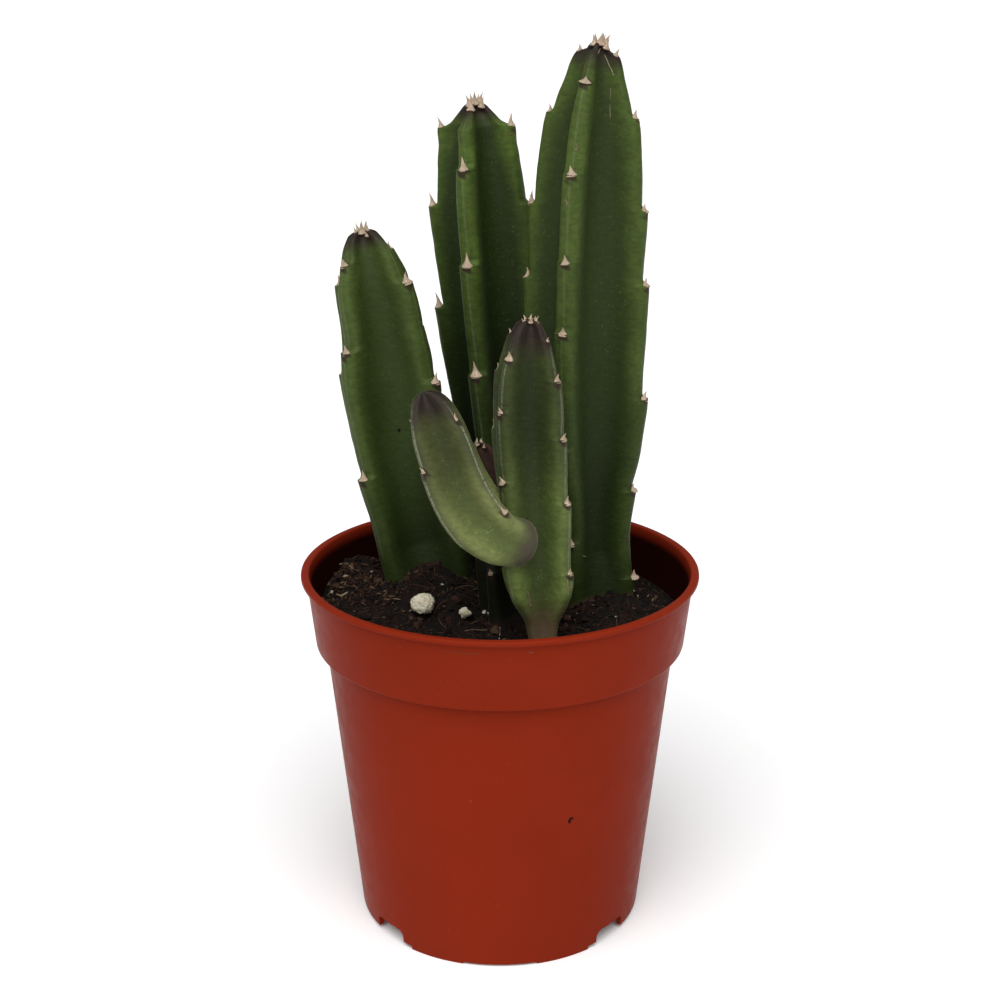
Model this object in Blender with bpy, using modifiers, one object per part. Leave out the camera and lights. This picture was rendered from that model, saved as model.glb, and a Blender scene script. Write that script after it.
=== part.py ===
"""A young stapelia in a moulded plastic nursery pot.

Five four-ribbed stems rise from peat in a round pot. The front one carries a curved
side branch. Pale soft teeth stand on the ribs, each on top of its own swelling, and the
rib steps in above it. The origin is on the pot's axis at the level of the floor, the
front of the plant faces -Y, and lengths are given in millimetres.
"""
import math
import random

import bmesh
import bpy
from mathutils import Matrix, Vector

MM = 0.001
CLEAR = 0.3

# Pot
TURN_STEPS = 56
RIM_RADIUS = 42.5
RIM_HEIGHT = 78.9
LIP_WIDTH = 1.7
LIP_DEPTH = 0.8
LIP_EDGE = 0.3
EDGE = 0.12
COLLAR_TOP_RADIUS = 41.3
COLLAR_FOOT_RADIUS = 39.65
COLLAR_FOOT_HEIGHT = 63.1
BODY_TOP_RADIUS = 37.6
BAND_RADIUS = 36.45
BAND_HEIGHT = 52.4
BAND_STEP = 0.15
FOOT_RADIUS = 31.0
FOOT_WIDTH = 1.0
WALL = 1.0
FLOOR_UNDERSIDE = 4.5
FLOOR_THICKNESS = 1.2
FLOOR_CORNER = 1.0
LEDGE_CORNER = 0.6

# Cuts in the pot's foot: angle round the pot, width, height and radius of upper corners
NOTCH = (8.8, 3.7, 1.5)
NOTCH_RELIEF = (13.4, 0.9, 0.0)
MIDDLE_RELIEF = (15.6, 0.5, 0.0)
SIDE_RELIEF = (33.0, 0.9, 0.0)
FOOT_CUTS = (
    tuple((angle, NOTCH) for angle in (50, 130, 230, 310))
    + tuple((angle, NOTCH_RELIEF) for angle in (50, 130, 230, 310))
    + ((0, MIDDLE_RELIEF), (180, MIDDLE_RELIEF), (90, SIDE_RELIEF), (270, SIDE_RELIEF))
)
CUT_DEPTH = 8.0
CUT_CENTRE = 30.5

# Drain holes in the pot's floor
DRAIN_RADIUS = 3.0
DRAIN_CIRCLE = 19.0
DRAIN_COUNT = 6
DRAIN_SIDES = 14

# Soil
SOIL_SIDES = 36
SOIL_RINGS = (5, 11, 17, 23, 29, 34)
SOIL_CENTRE_HEIGHT = 70.4
SOIL_EDGE_DROP = 2.5
SOIL_EDGE_FLARE = 0.3
MOUND_FALL = 1.6
SOIL_LUMP = 0.7
SOIL_SEED = 5
MOUNDS = (
    # centre x, centre y, half width x, half width y, height
    (-31.5, 9.5, 9.5, 8.5, 7.8),
    (-15.0, 2.5, 13.0, 11.0, 7.8),
    (25.0, -7.0, 12.0, 9.0, 4.5),
    (16.0, 24.0, 14.0, 10.0, 3.0),
    (-8.0, 32.0, 14.0, 8.0, 2.0),
)

# Perlite: centre x, centre y, height of centre, diameter
GRAIN_SEED = 11
GRAIN_UNEVEN = 0.1
GRAIN_FLATNESS = 0.85
PERLITE = {
    "perlite_large": (-16.1, -9.6, 73.9, 4.9),
    "perlite_small": (-7.4, -11.2, 72.6, 2.4),
}

# Section of a stem: stops between a rib's crest, at 0, and the groove, at 1
RIBS = 4
SECTION_STOPS = (0.0, 0.26, 0.60)
NOSE_SHARE = 0.28
NOSE_TURN = math.radians(78)
VALLEY_SHARE = 0.40
CREST_SHARE = 0.13
CREST_LIMIT = 1.55
FLANK_PULL = 0.42
FLANK_HOLLOW = 0.10
GROOVE_PULL = 0.50
ROUND_SHARE = 0.8

# Rings along a stem
STEP_LENGTH = 1.5
LEAST_GAP = 0.9
TIP_MARKS = (1.0, 2.6)
TIP_RISE = 0.3
ROUND_ZONE = 10.0
SOIL_LINE_ROUND = 0.5
PEG_LENGTH = 9.0
DOME_LENGTH = 3.2
# Rings below a stem's lowest section: depth, share of its width, roundness
PEG_RINGS = ((4.0, 0.8, 0.85), (7.5, 0.66, 1.0), (8.7, 0.5, 1.0))
DOME_RINGS = ((1.4, 0.88, 1.0), (2.6, 0.55, 1.0))
# The hole that a stem stands in: how far over the soil line and how wide of the stem
HOLE_RISE = 12.0
HOLE_GAP = 0.45

# Teeth
TOOTH_SIDES = 3
TOOTH_HEIGHT = 3.4
TOOTH_RADIUS = 1.4
TOOTH_FLATNESS = 0.8
TOOTH_SUNK = 1.3
TOOTH_DROP = 0.3
TOOTH_LEAN = math.radians(9)
YOUNG_TOOTH = 0.62
YOUNG_ZONE = 6.0
BUD_TEETH = 4
BUD_RADIUS = 1.7
BUD_DEPTH = 1.6

# A path runs from the soil line to the tip. Crest radii and the shelves that carry the
# teeth are given by their distance down from the tip. The front rib turns from the first
# angle at the tip to the second at the soil, measured from the front towards +X. A gap is
# the largest distance between two rings.
STEMS = {
    "stem_tall": dict(
        path=((19.3, 3.5, 72.4), (18.3, 3.0, 100.4), (17.7, 3.0, 120.4), (17.6, 3.0, 142.4),
              (18.0, 3.2, 164.4), (18.8, 3.4, 180.4), (19.6, 3.5, 187.4)),
        crest=((0, 2.4), (2, 4.0), (4, 5.1), (7, 6.5), (12, 8.8), (16, 10.1), (24, 11.7),
               (32, 12.6), (47, 13.5), (61, 13.8), (75, 13.6), (85, 12.6), (94, 10.9),
               (103, 10.4), (110, 11.4), (115, 11.4)),
        teeth=((9, 25, 42, 56, 80.5, 101.5), (4, 14.3, 32.5, 47.5, 71.5, 91.5, 111)),
        turn=(-20, -26), swell=1.3, gap=8.0, colour=(0.035, 0.075, 0.020)),
    "stem_back": dict(
        path=((3.0, 19.5, 72.4), (0.2, 19.0, 100.4), (-1.9, 19.0, 126.4), (-3.4, 19.0, 147.4),
              (-4.7, 19.0, 165.4), (-5.3, 19.0, 174.7)),
        crest=((0, 2.8), (3, 5.2), (5, 6.8), (6.4, 8.5), (9, 9.0), (12, 10.0), (21.5, 12.0),
               (42, 12.6), (60, 12.4), (80, 11.6), (92, 10.6), (103, 9.8)),
        teeth=((3, 13.5, 32.5, 56, 81.5), (6.4, 21.5, 43.5, 68, 93.5)),
        turn=(-19, -19), swell=2.2, gap=8.0, colour=(0.030, 0.070, 0.020)),
    "stem_left": dict(
        path=((-15.7, 10.5, 72.4), (-19.1, 10.5, 88.4), (-22.4, 10.5, 103.5),
              (-23.9, 10.5, 119.6), (-26.2, 10.5, 135.7), (-28.8, 10.5, 149.2)),
        crest=((0, 3.4), (1.5, 5.0), (4, 7.0), (7, 8.4), (12, 10.7), (22, 12.1), (32, 13.9),
               (46, 13.1), (60, 12.9), (70, 13.6), (79, 14.0)),
        teeth=((5.8, 23.5, 50.5), (11.4, 32, 61.5)),
        turn=(-38, -38), swell=1.9, gap=8.0, colour=(0.035, 0.080, 0.022)),
    "stem_front": dict(
        path=((8.6, -21.5, 71.4), (8.2, -20.4, 78.4), (7.4, -19.4, 86.4), (6.8, -18.6, 96.4),
              (5.8, -18.0, 110.4), (5.4, -18.0, 124.4), (5.8, -18.0, 136.4)),
        crest=((0, 2.2), (3, 4.6), (7, 6.4), (12, 8.1), (20, 9.1), (36, 9.3), (46, 9.1),
               (52, 8.9), (56, 8.2), (59, 6.6), (62, 4.8), (65.5, 4.0)),
        teeth=((7, 17, 31, 44.5), (3.5, 11.2, 23, 36.5, 51.5)),
        turn=(-40, -40), swell=0.9, gap=4.2, colour=(0.045, 0.085, 0.025)),
    "stem_short": dict(
        path=((2.2, -6.6, 71.4), (1.0, -5.4, 84.4), (-1.6, -4.2, 96.4), (-5.0, -3.6, 107.4)),
        crest=((0, 2.0), (3, 3.9), (8, 5.2), (16, 6.2), (26, 7.4), (38, 8.2)),
        teeth=((4, 15, 27), (8.5, 22)),
        turn=(-20, -30), swell=0.7, gap=8.0, colour=(0.040, 0.045, 0.030)),
}

BRANCH_OF = "stem_front"
BRANCH = dict(
    path=((3.8, -25.6, 92.5), (1.6, -26.6, 93.1), (-1.6, -27.4, 95.2), (-5.4, -27.9, 99.6),
          (-8.4, -28.0, 106.0), (-11.2, -28.0, 115.0), (-13.6, -28.0, 124.4)),
    crest=((0, 2.0), (3, 4.7), (8, 6.9), (14, 7.8), (28, 8.3), (35, 7.7), (41, 6.4)),
    teeth=((6, 18.5), (10, 28.5)),
    turn=(-41, -41), swell=0.6, gap=3.6)

# Materials: colour and roughness
POT_LOOK = ((0.23, 0.035, 0.014), 0.35)
SOIL_LOOK = ((0.022, 0.012, 0.009), 0.95)
PERLITE_LOOK = ((0.62, 0.55, 0.42), 0.85)
STEM_ROUGHNESS = 0.6


def clear_scene():
    for thing in list(bpy.data.objects):
        bpy.data.objects.remove(thing, do_unlink=True)


def new_collection(name):
    collection = bpy.data.collections.new(name)
    bpy.context.scene.collection.children.link(collection)
    return collection


def new_material(name, colour, roughness):
    material = bpy.data.materials.new(name)
    material.use_nodes = True
    shader = material.node_tree.nodes["Principled BSDF"]
    shader.inputs["Base Color"].default_value = (*colour, 1.0)
    shader.inputs["Roughness"].default_value = roughness
    shader.inputs["Metallic"].default_value = 0.0
    return material


def new_object(name, shape, collection):
    """Puts a bmesh, or a mesh, in a collection as an object in metres."""
    if isinstance(shape, bmesh.types.BMesh):
        mesh = bpy.data.meshes.new(name)
        shape.to_mesh(mesh)
        shape.free()
    else:
        mesh = shape
    thing = bpy.data.objects.new(name, mesh)
    collection.objects.link(thing)
    return thing


def make_cutter(thing):
    thing.hide_render = True
    thing.display_type = "WIRE"


def add_cut(thing, cutter):
    cut = thing.modifiers.new("cut", "BOOLEAN")
    cut.operation = "DIFFERENCE"
    cut.object = cutter


def apply_modifiers(thing):
    """Bakes an object's modifiers into its mesh."""
    bpy.context.view_layer.update()
    graph = bpy.context.evaluated_depsgraph_get()
    baked = bpy.data.meshes.new_from_object(thing.evaluated_get(graph))
    thing.modifiers.clear()
    old = thing.data
    thing.data = baked
    bpy.data.meshes.remove(old)


def join_all(thing, extras):
    """Fuses every object of a collection into one, and removes them."""
    union = thing.modifiers.new("join", "BOOLEAN")
    union.operation = "UNION"
    union.operand_type = "COLLECTION"
    union.collection = extras
    apply_modifiers(thing)
    for extra in list(extras.objects):
        bpy.data.objects.remove(extra, do_unlink=True)
    bpy.data.collections.remove(extras)


def smooth_shade(thing, angle):
    thing.data.shade_smooth()
    thing.data.set_sharp_from_angle(angle=math.radians(angle))


def through(table, x):
    """A smooth curve through (x, value) pairs, with the slope at each taken across it."""
    x = min(max(x, table[0][0]), table[-1][0])
    last = len(table) - 1
    i = min(sum(1 for knot, _ in table if knot <= x) - 1, last - 1)

    def slope(k):
        low, high = max(k - 1, 0), min(k + 1, last)
        return (table[high][1] - table[low][1]) / (table[high][0] - table[low][0])

    (x0, v0), (x1, v1) = table[i], table[i + 1]
    span = x1 - x0
    t = (x - x0) / span
    rise = (3 - 2 * t) * t * t
    return (v0 * (1 - rise) + v1 * rise + slope(i) * (span * t * (1 - t) ** 2)
            - slope(i + 1) * (span * t * t * (1 - t)))


def path_table(points):
    """Pairs of distance from the tip and place, from the tip down."""
    places = [Vector(p) for p in reversed(points)]
    table = [(0.0, places[0])]
    for place in places[1:]:
        table.append((table[-1][0] + (place - table[-1][1]).length, place))
    return table


def frame_at(table, down):
    """The place at a distance from the tip, with its up, front and side directions."""
    reach = 0.5
    above = through(table, down - reach)
    below = through(table, down + reach)
    up = (above - below).normalized()
    front = Vector((0, -1, 0))
    front = (front - up * front.dot(up)).normalized()
    return through(table, down), up, front, up.cross(front)


def crest_radius(stem, down, pair):
    """A rib's reach: it falls off below each shelf and steps out again to the next one."""
    reach = through(stem["crest"], down)
    above = max((t for t in stem["teeth"][pair] if t < down), default=0.0)
    below = min((t for t in stem["teeth"][pair] if t >= down), default=None)
    if below is None:
        return reach
    step = min(STEP_LENGTH, 0.3 * (below - above))
    fall = (down - above) / (below - step - above)
    if fall > 1:
        fall = (below - down) / step
    return reach - stem["swell"] * min(1.0, reach / 10.0) * fall


def half_section(stop, crest, valley):
    """A point of the section between a rib's crest, at stop 0, and the groove, at 1."""
    nose = min(CREST_LIMIT, CREST_SHARE * crest + 0.1)
    turn = NOSE_TURN * min(1.0, stop / NOSE_SHARE)
    start = Vector((crest - nose + nose * math.cos(turn), nose * math.sin(turn)))
    if stop < NOSE_SHARE:
        return start
    t = (stop - NOSE_SHARE) / (1 - NOSE_SHARE)
    half = math.pi / RIBS
    end = Vector((valley * math.cos(half), valley * math.sin(half)))
    flank = end - start
    ease_start = start + flank * FLANK_PULL - Vector((0, FLANK_HOLLOW * flank.length))
    ease_end = end + Vector((math.sin(half), -math.cos(half))) * (GROOVE_PULL * flank.length)
    return (start * (1 - t) ** 3 + ease_start * (3 * t * (1 - t) ** 2)
            + ease_end * (3 * t * t * (1 - t)) + end * t ** 3)


def rib_turn(stem, share):
    """The front rib's angle at a share of the way from the tip to the soil."""
    return math.radians(stem["turn"][0] + (stem["turn"][1] - stem["turn"][0]) * share)


def ring_at(stem, table, down, roundness=0.0):
    """One ring of points round a stem, from its front rib on."""
    place, _, front, side = frame_at(table, down)
    reach = through(stem["crest"], down)
    valley = VALLEY_SHARE * reach
    turn = rib_turn(stem, down / table[-1][0])
    quarter = 2 * math.pi / RIBS
    ring = []
    for rib in range(RIBS):
        crest = crest_radius(stem, down, rib % 2)
        following = crest_radius(stem, down, (rib + 1) % 2)
        stops = [(stop, crest, 1) for stop in SECTION_STOPS + (1.0,)]
        stops += [(stop, following, -1) for stop in reversed(SECTION_STOPS[1:])]
        for stop, radius, hand in stops:
            flat = half_section(stop, radius, valley)
            circle = Matrix.Rotation(quarter / 2 * stop, 2) @ Vector((ROUND_SHARE * reach, 0))
            flat = flat.lerp(circle, roundness)
            base = turn + quarter * (rib if hand == 1 else rib + 1)
            along = Vector((math.cos(base), math.sin(base)))
            across = Vector((-along.y, along.x)) * hand
            spot = along * flat.x + across * flat.y
            ring.append(place + front * spot.x + side * spot.y)
    return ring


def loft(rings, start, end):
    """A closed skin of triangles over rings of equal count, with a point at each end."""
    skin = bmesh.new()
    rows = [[skin.verts.new(point * MM) for point in ring] for ring in rings]
    count = len(rows[0])
    for low, high in zip(rows, rows[1:]):
        for i in range(count):
            j = (i + 1) % count
            skin.faces.new((low[i], low[j], high[j]))
            skin.faces.new((low[i], high[j], high[i]))
    first = skin.verts.new(start * MM)
    last = skin.verts.new(end * MM)
    for i in range(count):
        j = (i + 1) % count
        skin.faces.new((rows[0][j], rows[0][i], first))
        skin.faces.new((rows[-1][i], rows[-1][j], last))
    bmesh.ops.recalc_face_normals(skin, faces=skin.faces)
    return skin


def stations(stem, length):
    """Where the rings lie: on each shelf, above each step, and so often in between."""
    marks = {length, *TIP_MARKS}
    for level in (t for pair in stem["teeth"] for t in pair):
        marks |= {level, level - STEP_LENGTH}
    kept = [TIP_MARKS[0]]
    for mark in sorted(marks):
        if mark - kept[-1] > LEAST_GAP:
            kept.append(mark)
    full = kept[:1]
    for upper, lower in zip(kept, kept[1:]):
        parts = math.ceil((lower - upper) / stem["gap"])
        full += [upper + (lower - upper) * part / parts for part in range(1, parts + 1)]
    return full


def make_tooth(place, up, out, size, collection):
    """One pale tooth: a slim three-sided point on its shelf."""
    tooth = bmesh.new()
    height = TOOTH_HEIGHT * size
    bmesh.ops.create_cone(tooth, cap_ends=True, segments=TOOTH_SIDES, radius1=TOOTH_RADIUS * size,
                          radius2=0.0, depth=height)
    lean = (up * math.cos(TOOTH_LEAN) + out * math.sin(TOOTH_LEAN)).normalized()
    across = lean.cross(out).normalized()
    outward = across.cross(lean)
    turned = Matrix((outward * TOOTH_FLATNESS, -across, lean)).transposed().to_4x4()
    root = place - out * TOOTH_SUNK * size - up * TOOTH_DROP * size
    shift = Matrix.Translation((root + lean * (height / 2)) * MM)
    bmesh.ops.transform(tooth, matrix=shift @ Matrix.Scale(MM, 4) @ turned, verts=tooth.verts)
    new_object("tooth", tooth, collection)


def add_teeth(stem, table, collection):
    """Teeth on opposite ribs in turn, and a crown of small ones round the tip."""
    length = table[-1][0]
    quarter = 2 * math.pi / RIBS
    for pair, levels in enumerate(stem["teeth"]):
        for level in levels:
            place, up, front, side = frame_at(table, level)
            turn = rib_turn(stem, level / length)
            size = 1.0 if level > YOUNG_ZONE else YOUNG_TOOTH
            for rib in (pair, pair + 2):
                angle = turn + quarter * rib
                out = front * math.cos(angle) + side * math.sin(angle)
                crest = place + out * crest_radius(stem, level, pair)
                make_tooth(crest, up, out, size, collection)
    place, up, front, side = frame_at(table, BUD_DEPTH)
    for bud in range(BUD_TEETH):
        angle = rib_turn(stem, 0.0) + 2 * math.pi / BUD_TEETH * (bud + 0.5)
        out = front * math.cos(angle) + side * math.sin(angle)
        root = place + out * (BUD_RADIUS + TOOTH_SUNK * YOUNG_TOOTH)
        make_tooth(root, up, out, YOUNG_TOOTH, collection)


def stem_rings(stem, buried):
    """Rings of points up a stem or a branch, its buried peg or its rounded end first."""
    table = path_table(stem["path"])
    length = table[-1][0]
    rings = []
    for down in reversed(stations(stem, length)):
        share = max(0.0, 1 - (length - down) / ROUND_ZONE)
        rings.append(ring_at(stem, table, down, share * (SOIL_LINE_ROUND if buried else 1.0)))
    place, up, _, _ = frame_at(table, length)
    closing = []
    for depth, share, roundness in PEG_RINGS if buried else DOME_RINGS:
        ring = ring_at(stem, table, length, roundness)
        closing.insert(0, [place + (point - place) * share - up * depth for point in ring])
    return closing + rings


def stem_mesh(stem, buried):
    """The ribbed body of a stem or a branch."""
    table = path_table(stem["path"])
    tip = through(table, 0.0) + frame_at(table, 0.0)[1] * TIP_RISE
    place, up, _, _ = frame_at(table, table[-1][0])
    start = place - up * (PEG_LENGTH if buried else DOME_LENGTH)
    return loft(stem_rings(stem, buried), start, tip)


def make_stem(name, stem, collection):
    body = new_object(name, stem_mesh(stem, True), collection)
    extras = new_collection("repeats of " + name)
    add_teeth(stem, path_table(stem["path"]), extras)
    if name == BRANCH_OF:
        new_object("branch", stem_mesh(BRANCH, False), extras)
        add_teeth(BRANCH, path_table(BRANCH["path"]), extras)
    join_all(body, extras)
    smooth_shade(body, 40)
    body.data.materials.clear()
    body.data.materials.append(new_material(name, stem["colour"], STEM_ROUGHNESS))
    return body


def inner_wall():
    """The pot's inside from its floor's edge to the collar's ledge: radius and height."""
    floor_top = FLOOR_UNDERSIDE + FLOOR_THICKNESS
    slope = (BAND_RADIUS - BAND_STEP - FOOT_RADIUS) / BAND_HEIGHT
    foot = FOOT_RADIUS + slope * floor_top - WALL
    ledge = COLLAR_FOOT_HEIGHT + WALL
    return (
        (foot - FLOOR_CORNER, floor_top),
        (foot, floor_top + FLOOR_CORNER),
        (BAND_RADIUS - BAND_STEP - WALL, BAND_HEIGHT),
        (BODY_TOP_RADIUS - WALL, ledge - LEDGE_CORNER),
        (BODY_TOP_RADIUS - WALL + LEDGE_CORNER, ledge),
        (COLLAR_FOOT_RADIUS - WALL, ledge + LIP_EDGE),
    )


def pot_profile():
    """The pot's outline from the middle of its floor, up inside, over the lip and down."""
    lip_foot = RIM_HEIGHT - LIP_DEPTH
    return (
        (0.0, FLOOR_UNDERSIDE + FLOOR_THICKNESS),
        *inner_wall(),
        (COLLAR_TOP_RADIUS - WALL, lip_foot - WALL),
        (RIM_RADIUS - LIP_WIDTH, RIM_HEIGHT - LIP_EDGE),
        (RIM_RADIUS - LIP_WIDTH + LIP_EDGE, RIM_HEIGHT),
        (RIM_RADIUS - LIP_EDGE, RIM_HEIGHT),
        (RIM_RADIUS, RIM_HEIGHT - LIP_EDGE),
        (RIM_RADIUS, lip_foot),
        (COLLAR_TOP_RADIUS + LIP_EDGE, lip_foot - LIP_EDGE),
        (COLLAR_TOP_RADIUS, lip_foot - 2 * LIP_EDGE),
        (COLLAR_FOOT_RADIUS, COLLAR_FOOT_HEIGHT + EDGE),
        (COLLAR_FOOT_RADIUS - EDGE, COLLAR_FOOT_HEIGHT),
        (BODY_TOP_RADIUS, COLLAR_FOOT_HEIGHT - EDGE),
        (BAND_RADIUS, BAND_HEIGHT),
        (BAND_RADIUS - BAND_STEP, BAND_HEIGHT - LIP_EDGE),
        (FOOT_RADIUS, EDGE),
        (FOOT_RADIUS - EDGE, 0.0),
        (FOOT_RADIUS - FOOT_WIDTH, 0.0),
        (FOOT_RADIUS - FOOT_WIDTH + EDGE, FLOOR_UNDERSIDE),
        (0.0, FLOOR_UNDERSIDE),
    )


def turned_object(name, profile, steps, collection):
    line = bmesh.new()
    points = [line.verts.new((radius * MM, 0.0, height * MM)) for radius, height in profile]
    for one, two in zip(points, points[1:]):
        line.edges.new((one, two))
    thing = new_object(name, line, collection)
    screw = thing.modifiers.new("turn", "SCREW")
    screw.steps = steps
    screw.render_steps = steps
    screw.use_merge_vertices = True
    screw.merge_threshold = 0.00001
    screw.use_normal_calculate = False
    return thing


def foot_cut(angle, width, height, corner, collection):
    """A box across the foot ring at an angle round the pot, with round upper corners."""
    box = bmesh.new()
    bmesh.ops.create_cube(box, size=1.0)
    bmesh.ops.scale(box, vec=Vector((width, CUT_DEPTH, 2 * height)) * MM, verts=box.verts)
    if corner:
        upper = [edge for edge in box.edges
                 if all(v.co.z > 0 for v in edge.verts)
                 and abs(edge.verts[0].co.y - edge.verts[1].co.y) > CUT_DEPTH / 2 * MM]
        bmesh.ops.bevel(box, geom=upper, offset=corner * MM, segments=3, affect="EDGES", profile=0.5)
    centre = Vector((0, -CUT_CENTRE, 0))
    place = Matrix.Rotation(math.radians(angle), 4, "Z") @ Matrix.Translation(centre * MM)
    bmesh.ops.transform(box, matrix=place, verts=box.verts)
    return new_object("foot cut", box, collection)


def drain_cut(angle, collection):
    """A round hole through the pot's floor at an angle round the pot."""
    drain = bmesh.new()
    bmesh.ops.create_cone(drain, cap_ends=True, segments=DRAIN_SIDES, radius1=DRAIN_RADIUS * MM,
                          radius2=DRAIN_RADIUS * MM, depth=4 * FLOOR_THICKNESS * MM)
    centre = Vector((DRAIN_CIRCLE * math.cos(angle), DRAIN_CIRCLE * math.sin(angle),
                     FLOOR_UNDERSIDE + FLOOR_THICKNESS / 2))
    bmesh.ops.translate(drain, vec=centre * MM, verts=drain.verts)
    return new_object("drain", drain, collection)


def make_pot(collection, cutters):
    pot = turned_object("pot", pot_profile(), TURN_STEPS, collection)
    cuts = [foot_cut(angle, *shape, cutters) for angle, shape in FOOT_CUTS]
    cuts += [drain_cut(2 * math.pi / DRAIN_COUNT * (hole + 0.5), cutters)
             for hole in range(DRAIN_COUNT)]
    for cutter in cuts:
        make_cutter(cutter)
        add_cut(pot, cutter)
    smooth_shade(pot, 35)
    pot.data.materials.append(new_material("pot", *POT_LOOK))
    return pot


def soil_height(x, y):
    """The height of the peat's surface over a point of the pot."""
    edge = min(1.0, math.hypot(x, y) / COLLAR_FOOT_RADIUS)
    height = SOIL_CENTRE_HEIGHT - SOIL_EDGE_DROP * edge ** 4
    for centre_x, centre_y, wide, deep, rise in MOUNDS:
        away = ((x - centre_x) / wide) ** 2 + ((y - centre_y) / deep) ** 2
        height += rise * math.exp(-MOUND_FALL * away)
    return height


def make_soil(collection, cutters, stems):
    """The peat that fills the pot, uneven on top, with a hole for every stem and grain."""
    draw = random.Random(SOIL_SEED)
    turns = [2 * math.pi * i / SOIL_SIDES for i in range(SOIL_SIDES)]
    rings = []
    for radius, height in inner_wall():
        radius -= CLEAR
        height += CLEAR
        rings.append([Vector((radius * math.cos(a), radius * math.sin(a), height)) for a in turns])
    edge = COLLAR_FOOT_RADIUS - WALL - CLEAR + SOIL_EDGE_FLARE
    for radius in (edge,) + SOIL_RINGS[::-1]:
        ring = []
        for a in turns:
            x, y = radius * math.cos(a), radius * math.sin(a)
            lump = draw.uniform(-SOIL_LUMP, SOIL_LUMP)
            ring.append(Vector((x, y, soil_height(x, y) + lump)))
        rings.append(ring)
    low = Vector((0, 0, rings[0][0].z))
    middle = Vector((0, 0, soil_height(0, 0)))
    soil = new_object("soil", loft(rings, low, middle), collection)
    cuts = [stem_hole(name, stem, cutters) for name, stem in stems.items()]
    cuts += [grain_object(name + " dimple", (x, y, z), across + 2 * CLEAR, cutters)
             for name, (x, y, z, across) in PERLITE.items()]
    for cutter in cuts:
        make_cutter(cutter)
        add_cut(soil, cutter)
    smooth_shade(soil, 60)
    soil.data.materials.append(new_material("soil", *SOIL_LOOK))
    return soil


def widened(ring, up, gap):
    """A ring moved outwards by a gap, each point square to the line of its neighbours."""
    wide = []
    for i, point in enumerate(ring):
        along = ring[(i + 1) % len(ring)] - ring[i - 1]
        wide.append(point + along.cross(up).normalized() * gap)
    return wide


def stem_hole(name, stem, cutters):
    """The hole that a stem stands in: its own buried shape, a little wider."""
    table = path_table(stem["path"])
    place, up, _, _ = frame_at(table, table[-1][0])
    rings = stem_rings(stem, True)
    under = [ring for ring in rings if (ring[0] - place).dot(up) < HOLE_RISE]
    rings = [widened(ring, up, HOLE_GAP) for ring in rings[:len(under) + 1]]
    top = sum(rings[-1], Vector()) / len(rings[-1])
    low = place - up * (PEG_LENGTH + HOLE_GAP)
    rings[0] = [point - up * HOLE_GAP for point in rings[0]]
    return new_object(name + " hole", loft(rings, low, top), cutters)


def grain_object(name, centre, across, collection):
    """A lump of perlite: a small uneven ball."""
    draw = random.Random(GRAIN_SEED)
    ball = bmesh.new()
    bmesh.ops.create_icosphere(ball, subdivisions=2, radius=across / 2 * MM)
    for vert in ball.verts:
        vert.co *= 1 - draw.uniform(0, GRAIN_UNEVEN)
        vert.co.z *= GRAIN_FLATNESS
    bmesh.ops.translate(ball, vec=Vector(centre) * MM, verts=ball.verts)
    return new_object(name, ball, collection)


def main():
    clear_scene()
    plant = new_collection("potted_stapelia")
    cutters = new_collection("cutters")
    make_pot(plant, cutters)
    make_soil(plant, cutters, STEMS)
    for name, (x, y, z, across) in PERLITE.items():
        grain = grain_object(name, (x, y, z), across, plant)
        smooth_shade(grain, 50)
        grain.data.materials.append(new_material(name, *PERLITE_LOOK))
    for name, stem in STEMS.items():
        make_stem(name, stem, plant)


main()
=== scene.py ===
"""The potted stapelia as it looks: fine pot, stems, teeth, peat and perlite with their materials.

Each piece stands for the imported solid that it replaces, in finer mesh. Lengths are in
millimetres until a mesh is made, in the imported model's frame: origin on the pot's axis at the
floor, front towards -Y. Places given in pixels are of the photograph's 1000 x 1000 frame and
are carried along the camera's ray to the surface that they lie on.
"""
import functools
import random
from math import cos, hypot, pi, radians, sin, sqrt

import bmesh
import bpy
import numpy as np
from mathutils import Matrix, Vector, noise
from mathutils.bvhtree import BVHTree


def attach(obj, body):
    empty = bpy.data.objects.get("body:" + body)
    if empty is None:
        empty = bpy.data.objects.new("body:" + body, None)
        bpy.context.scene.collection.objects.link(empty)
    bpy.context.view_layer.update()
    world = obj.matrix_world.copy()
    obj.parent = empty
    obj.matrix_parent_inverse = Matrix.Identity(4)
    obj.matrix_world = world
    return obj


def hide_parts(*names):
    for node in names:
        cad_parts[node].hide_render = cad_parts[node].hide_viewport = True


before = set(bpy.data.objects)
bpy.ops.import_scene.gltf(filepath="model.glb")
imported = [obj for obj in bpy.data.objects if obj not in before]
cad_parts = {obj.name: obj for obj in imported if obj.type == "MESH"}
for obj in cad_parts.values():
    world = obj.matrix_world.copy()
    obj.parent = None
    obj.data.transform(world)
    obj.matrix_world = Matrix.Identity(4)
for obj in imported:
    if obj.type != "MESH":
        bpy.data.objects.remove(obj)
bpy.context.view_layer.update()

MM = 0.001
BODY = "root"
# How far a seed moves noise along each axis, and a direction that no thread follows
SEED_SHIFT = (17.3, 5.1, 9.7)
ASKEW = (0.31, 0.17, 0.93)

# Camera, as fitted to the pot's rings
CAMERA_PLACE = (0.0, -338.0, 203.5)
CAMERA_TILT = radians(72)
CAMERA_LENS = 60.4
SENSOR_WIDTH = 36.0
FRAME_WIDTH = 1000

# Stage: half the floor's width in metres, and the strength of the world's grey fill
FLOOR_HALF = 15.0
WORLD_FILL = 0.3

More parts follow.
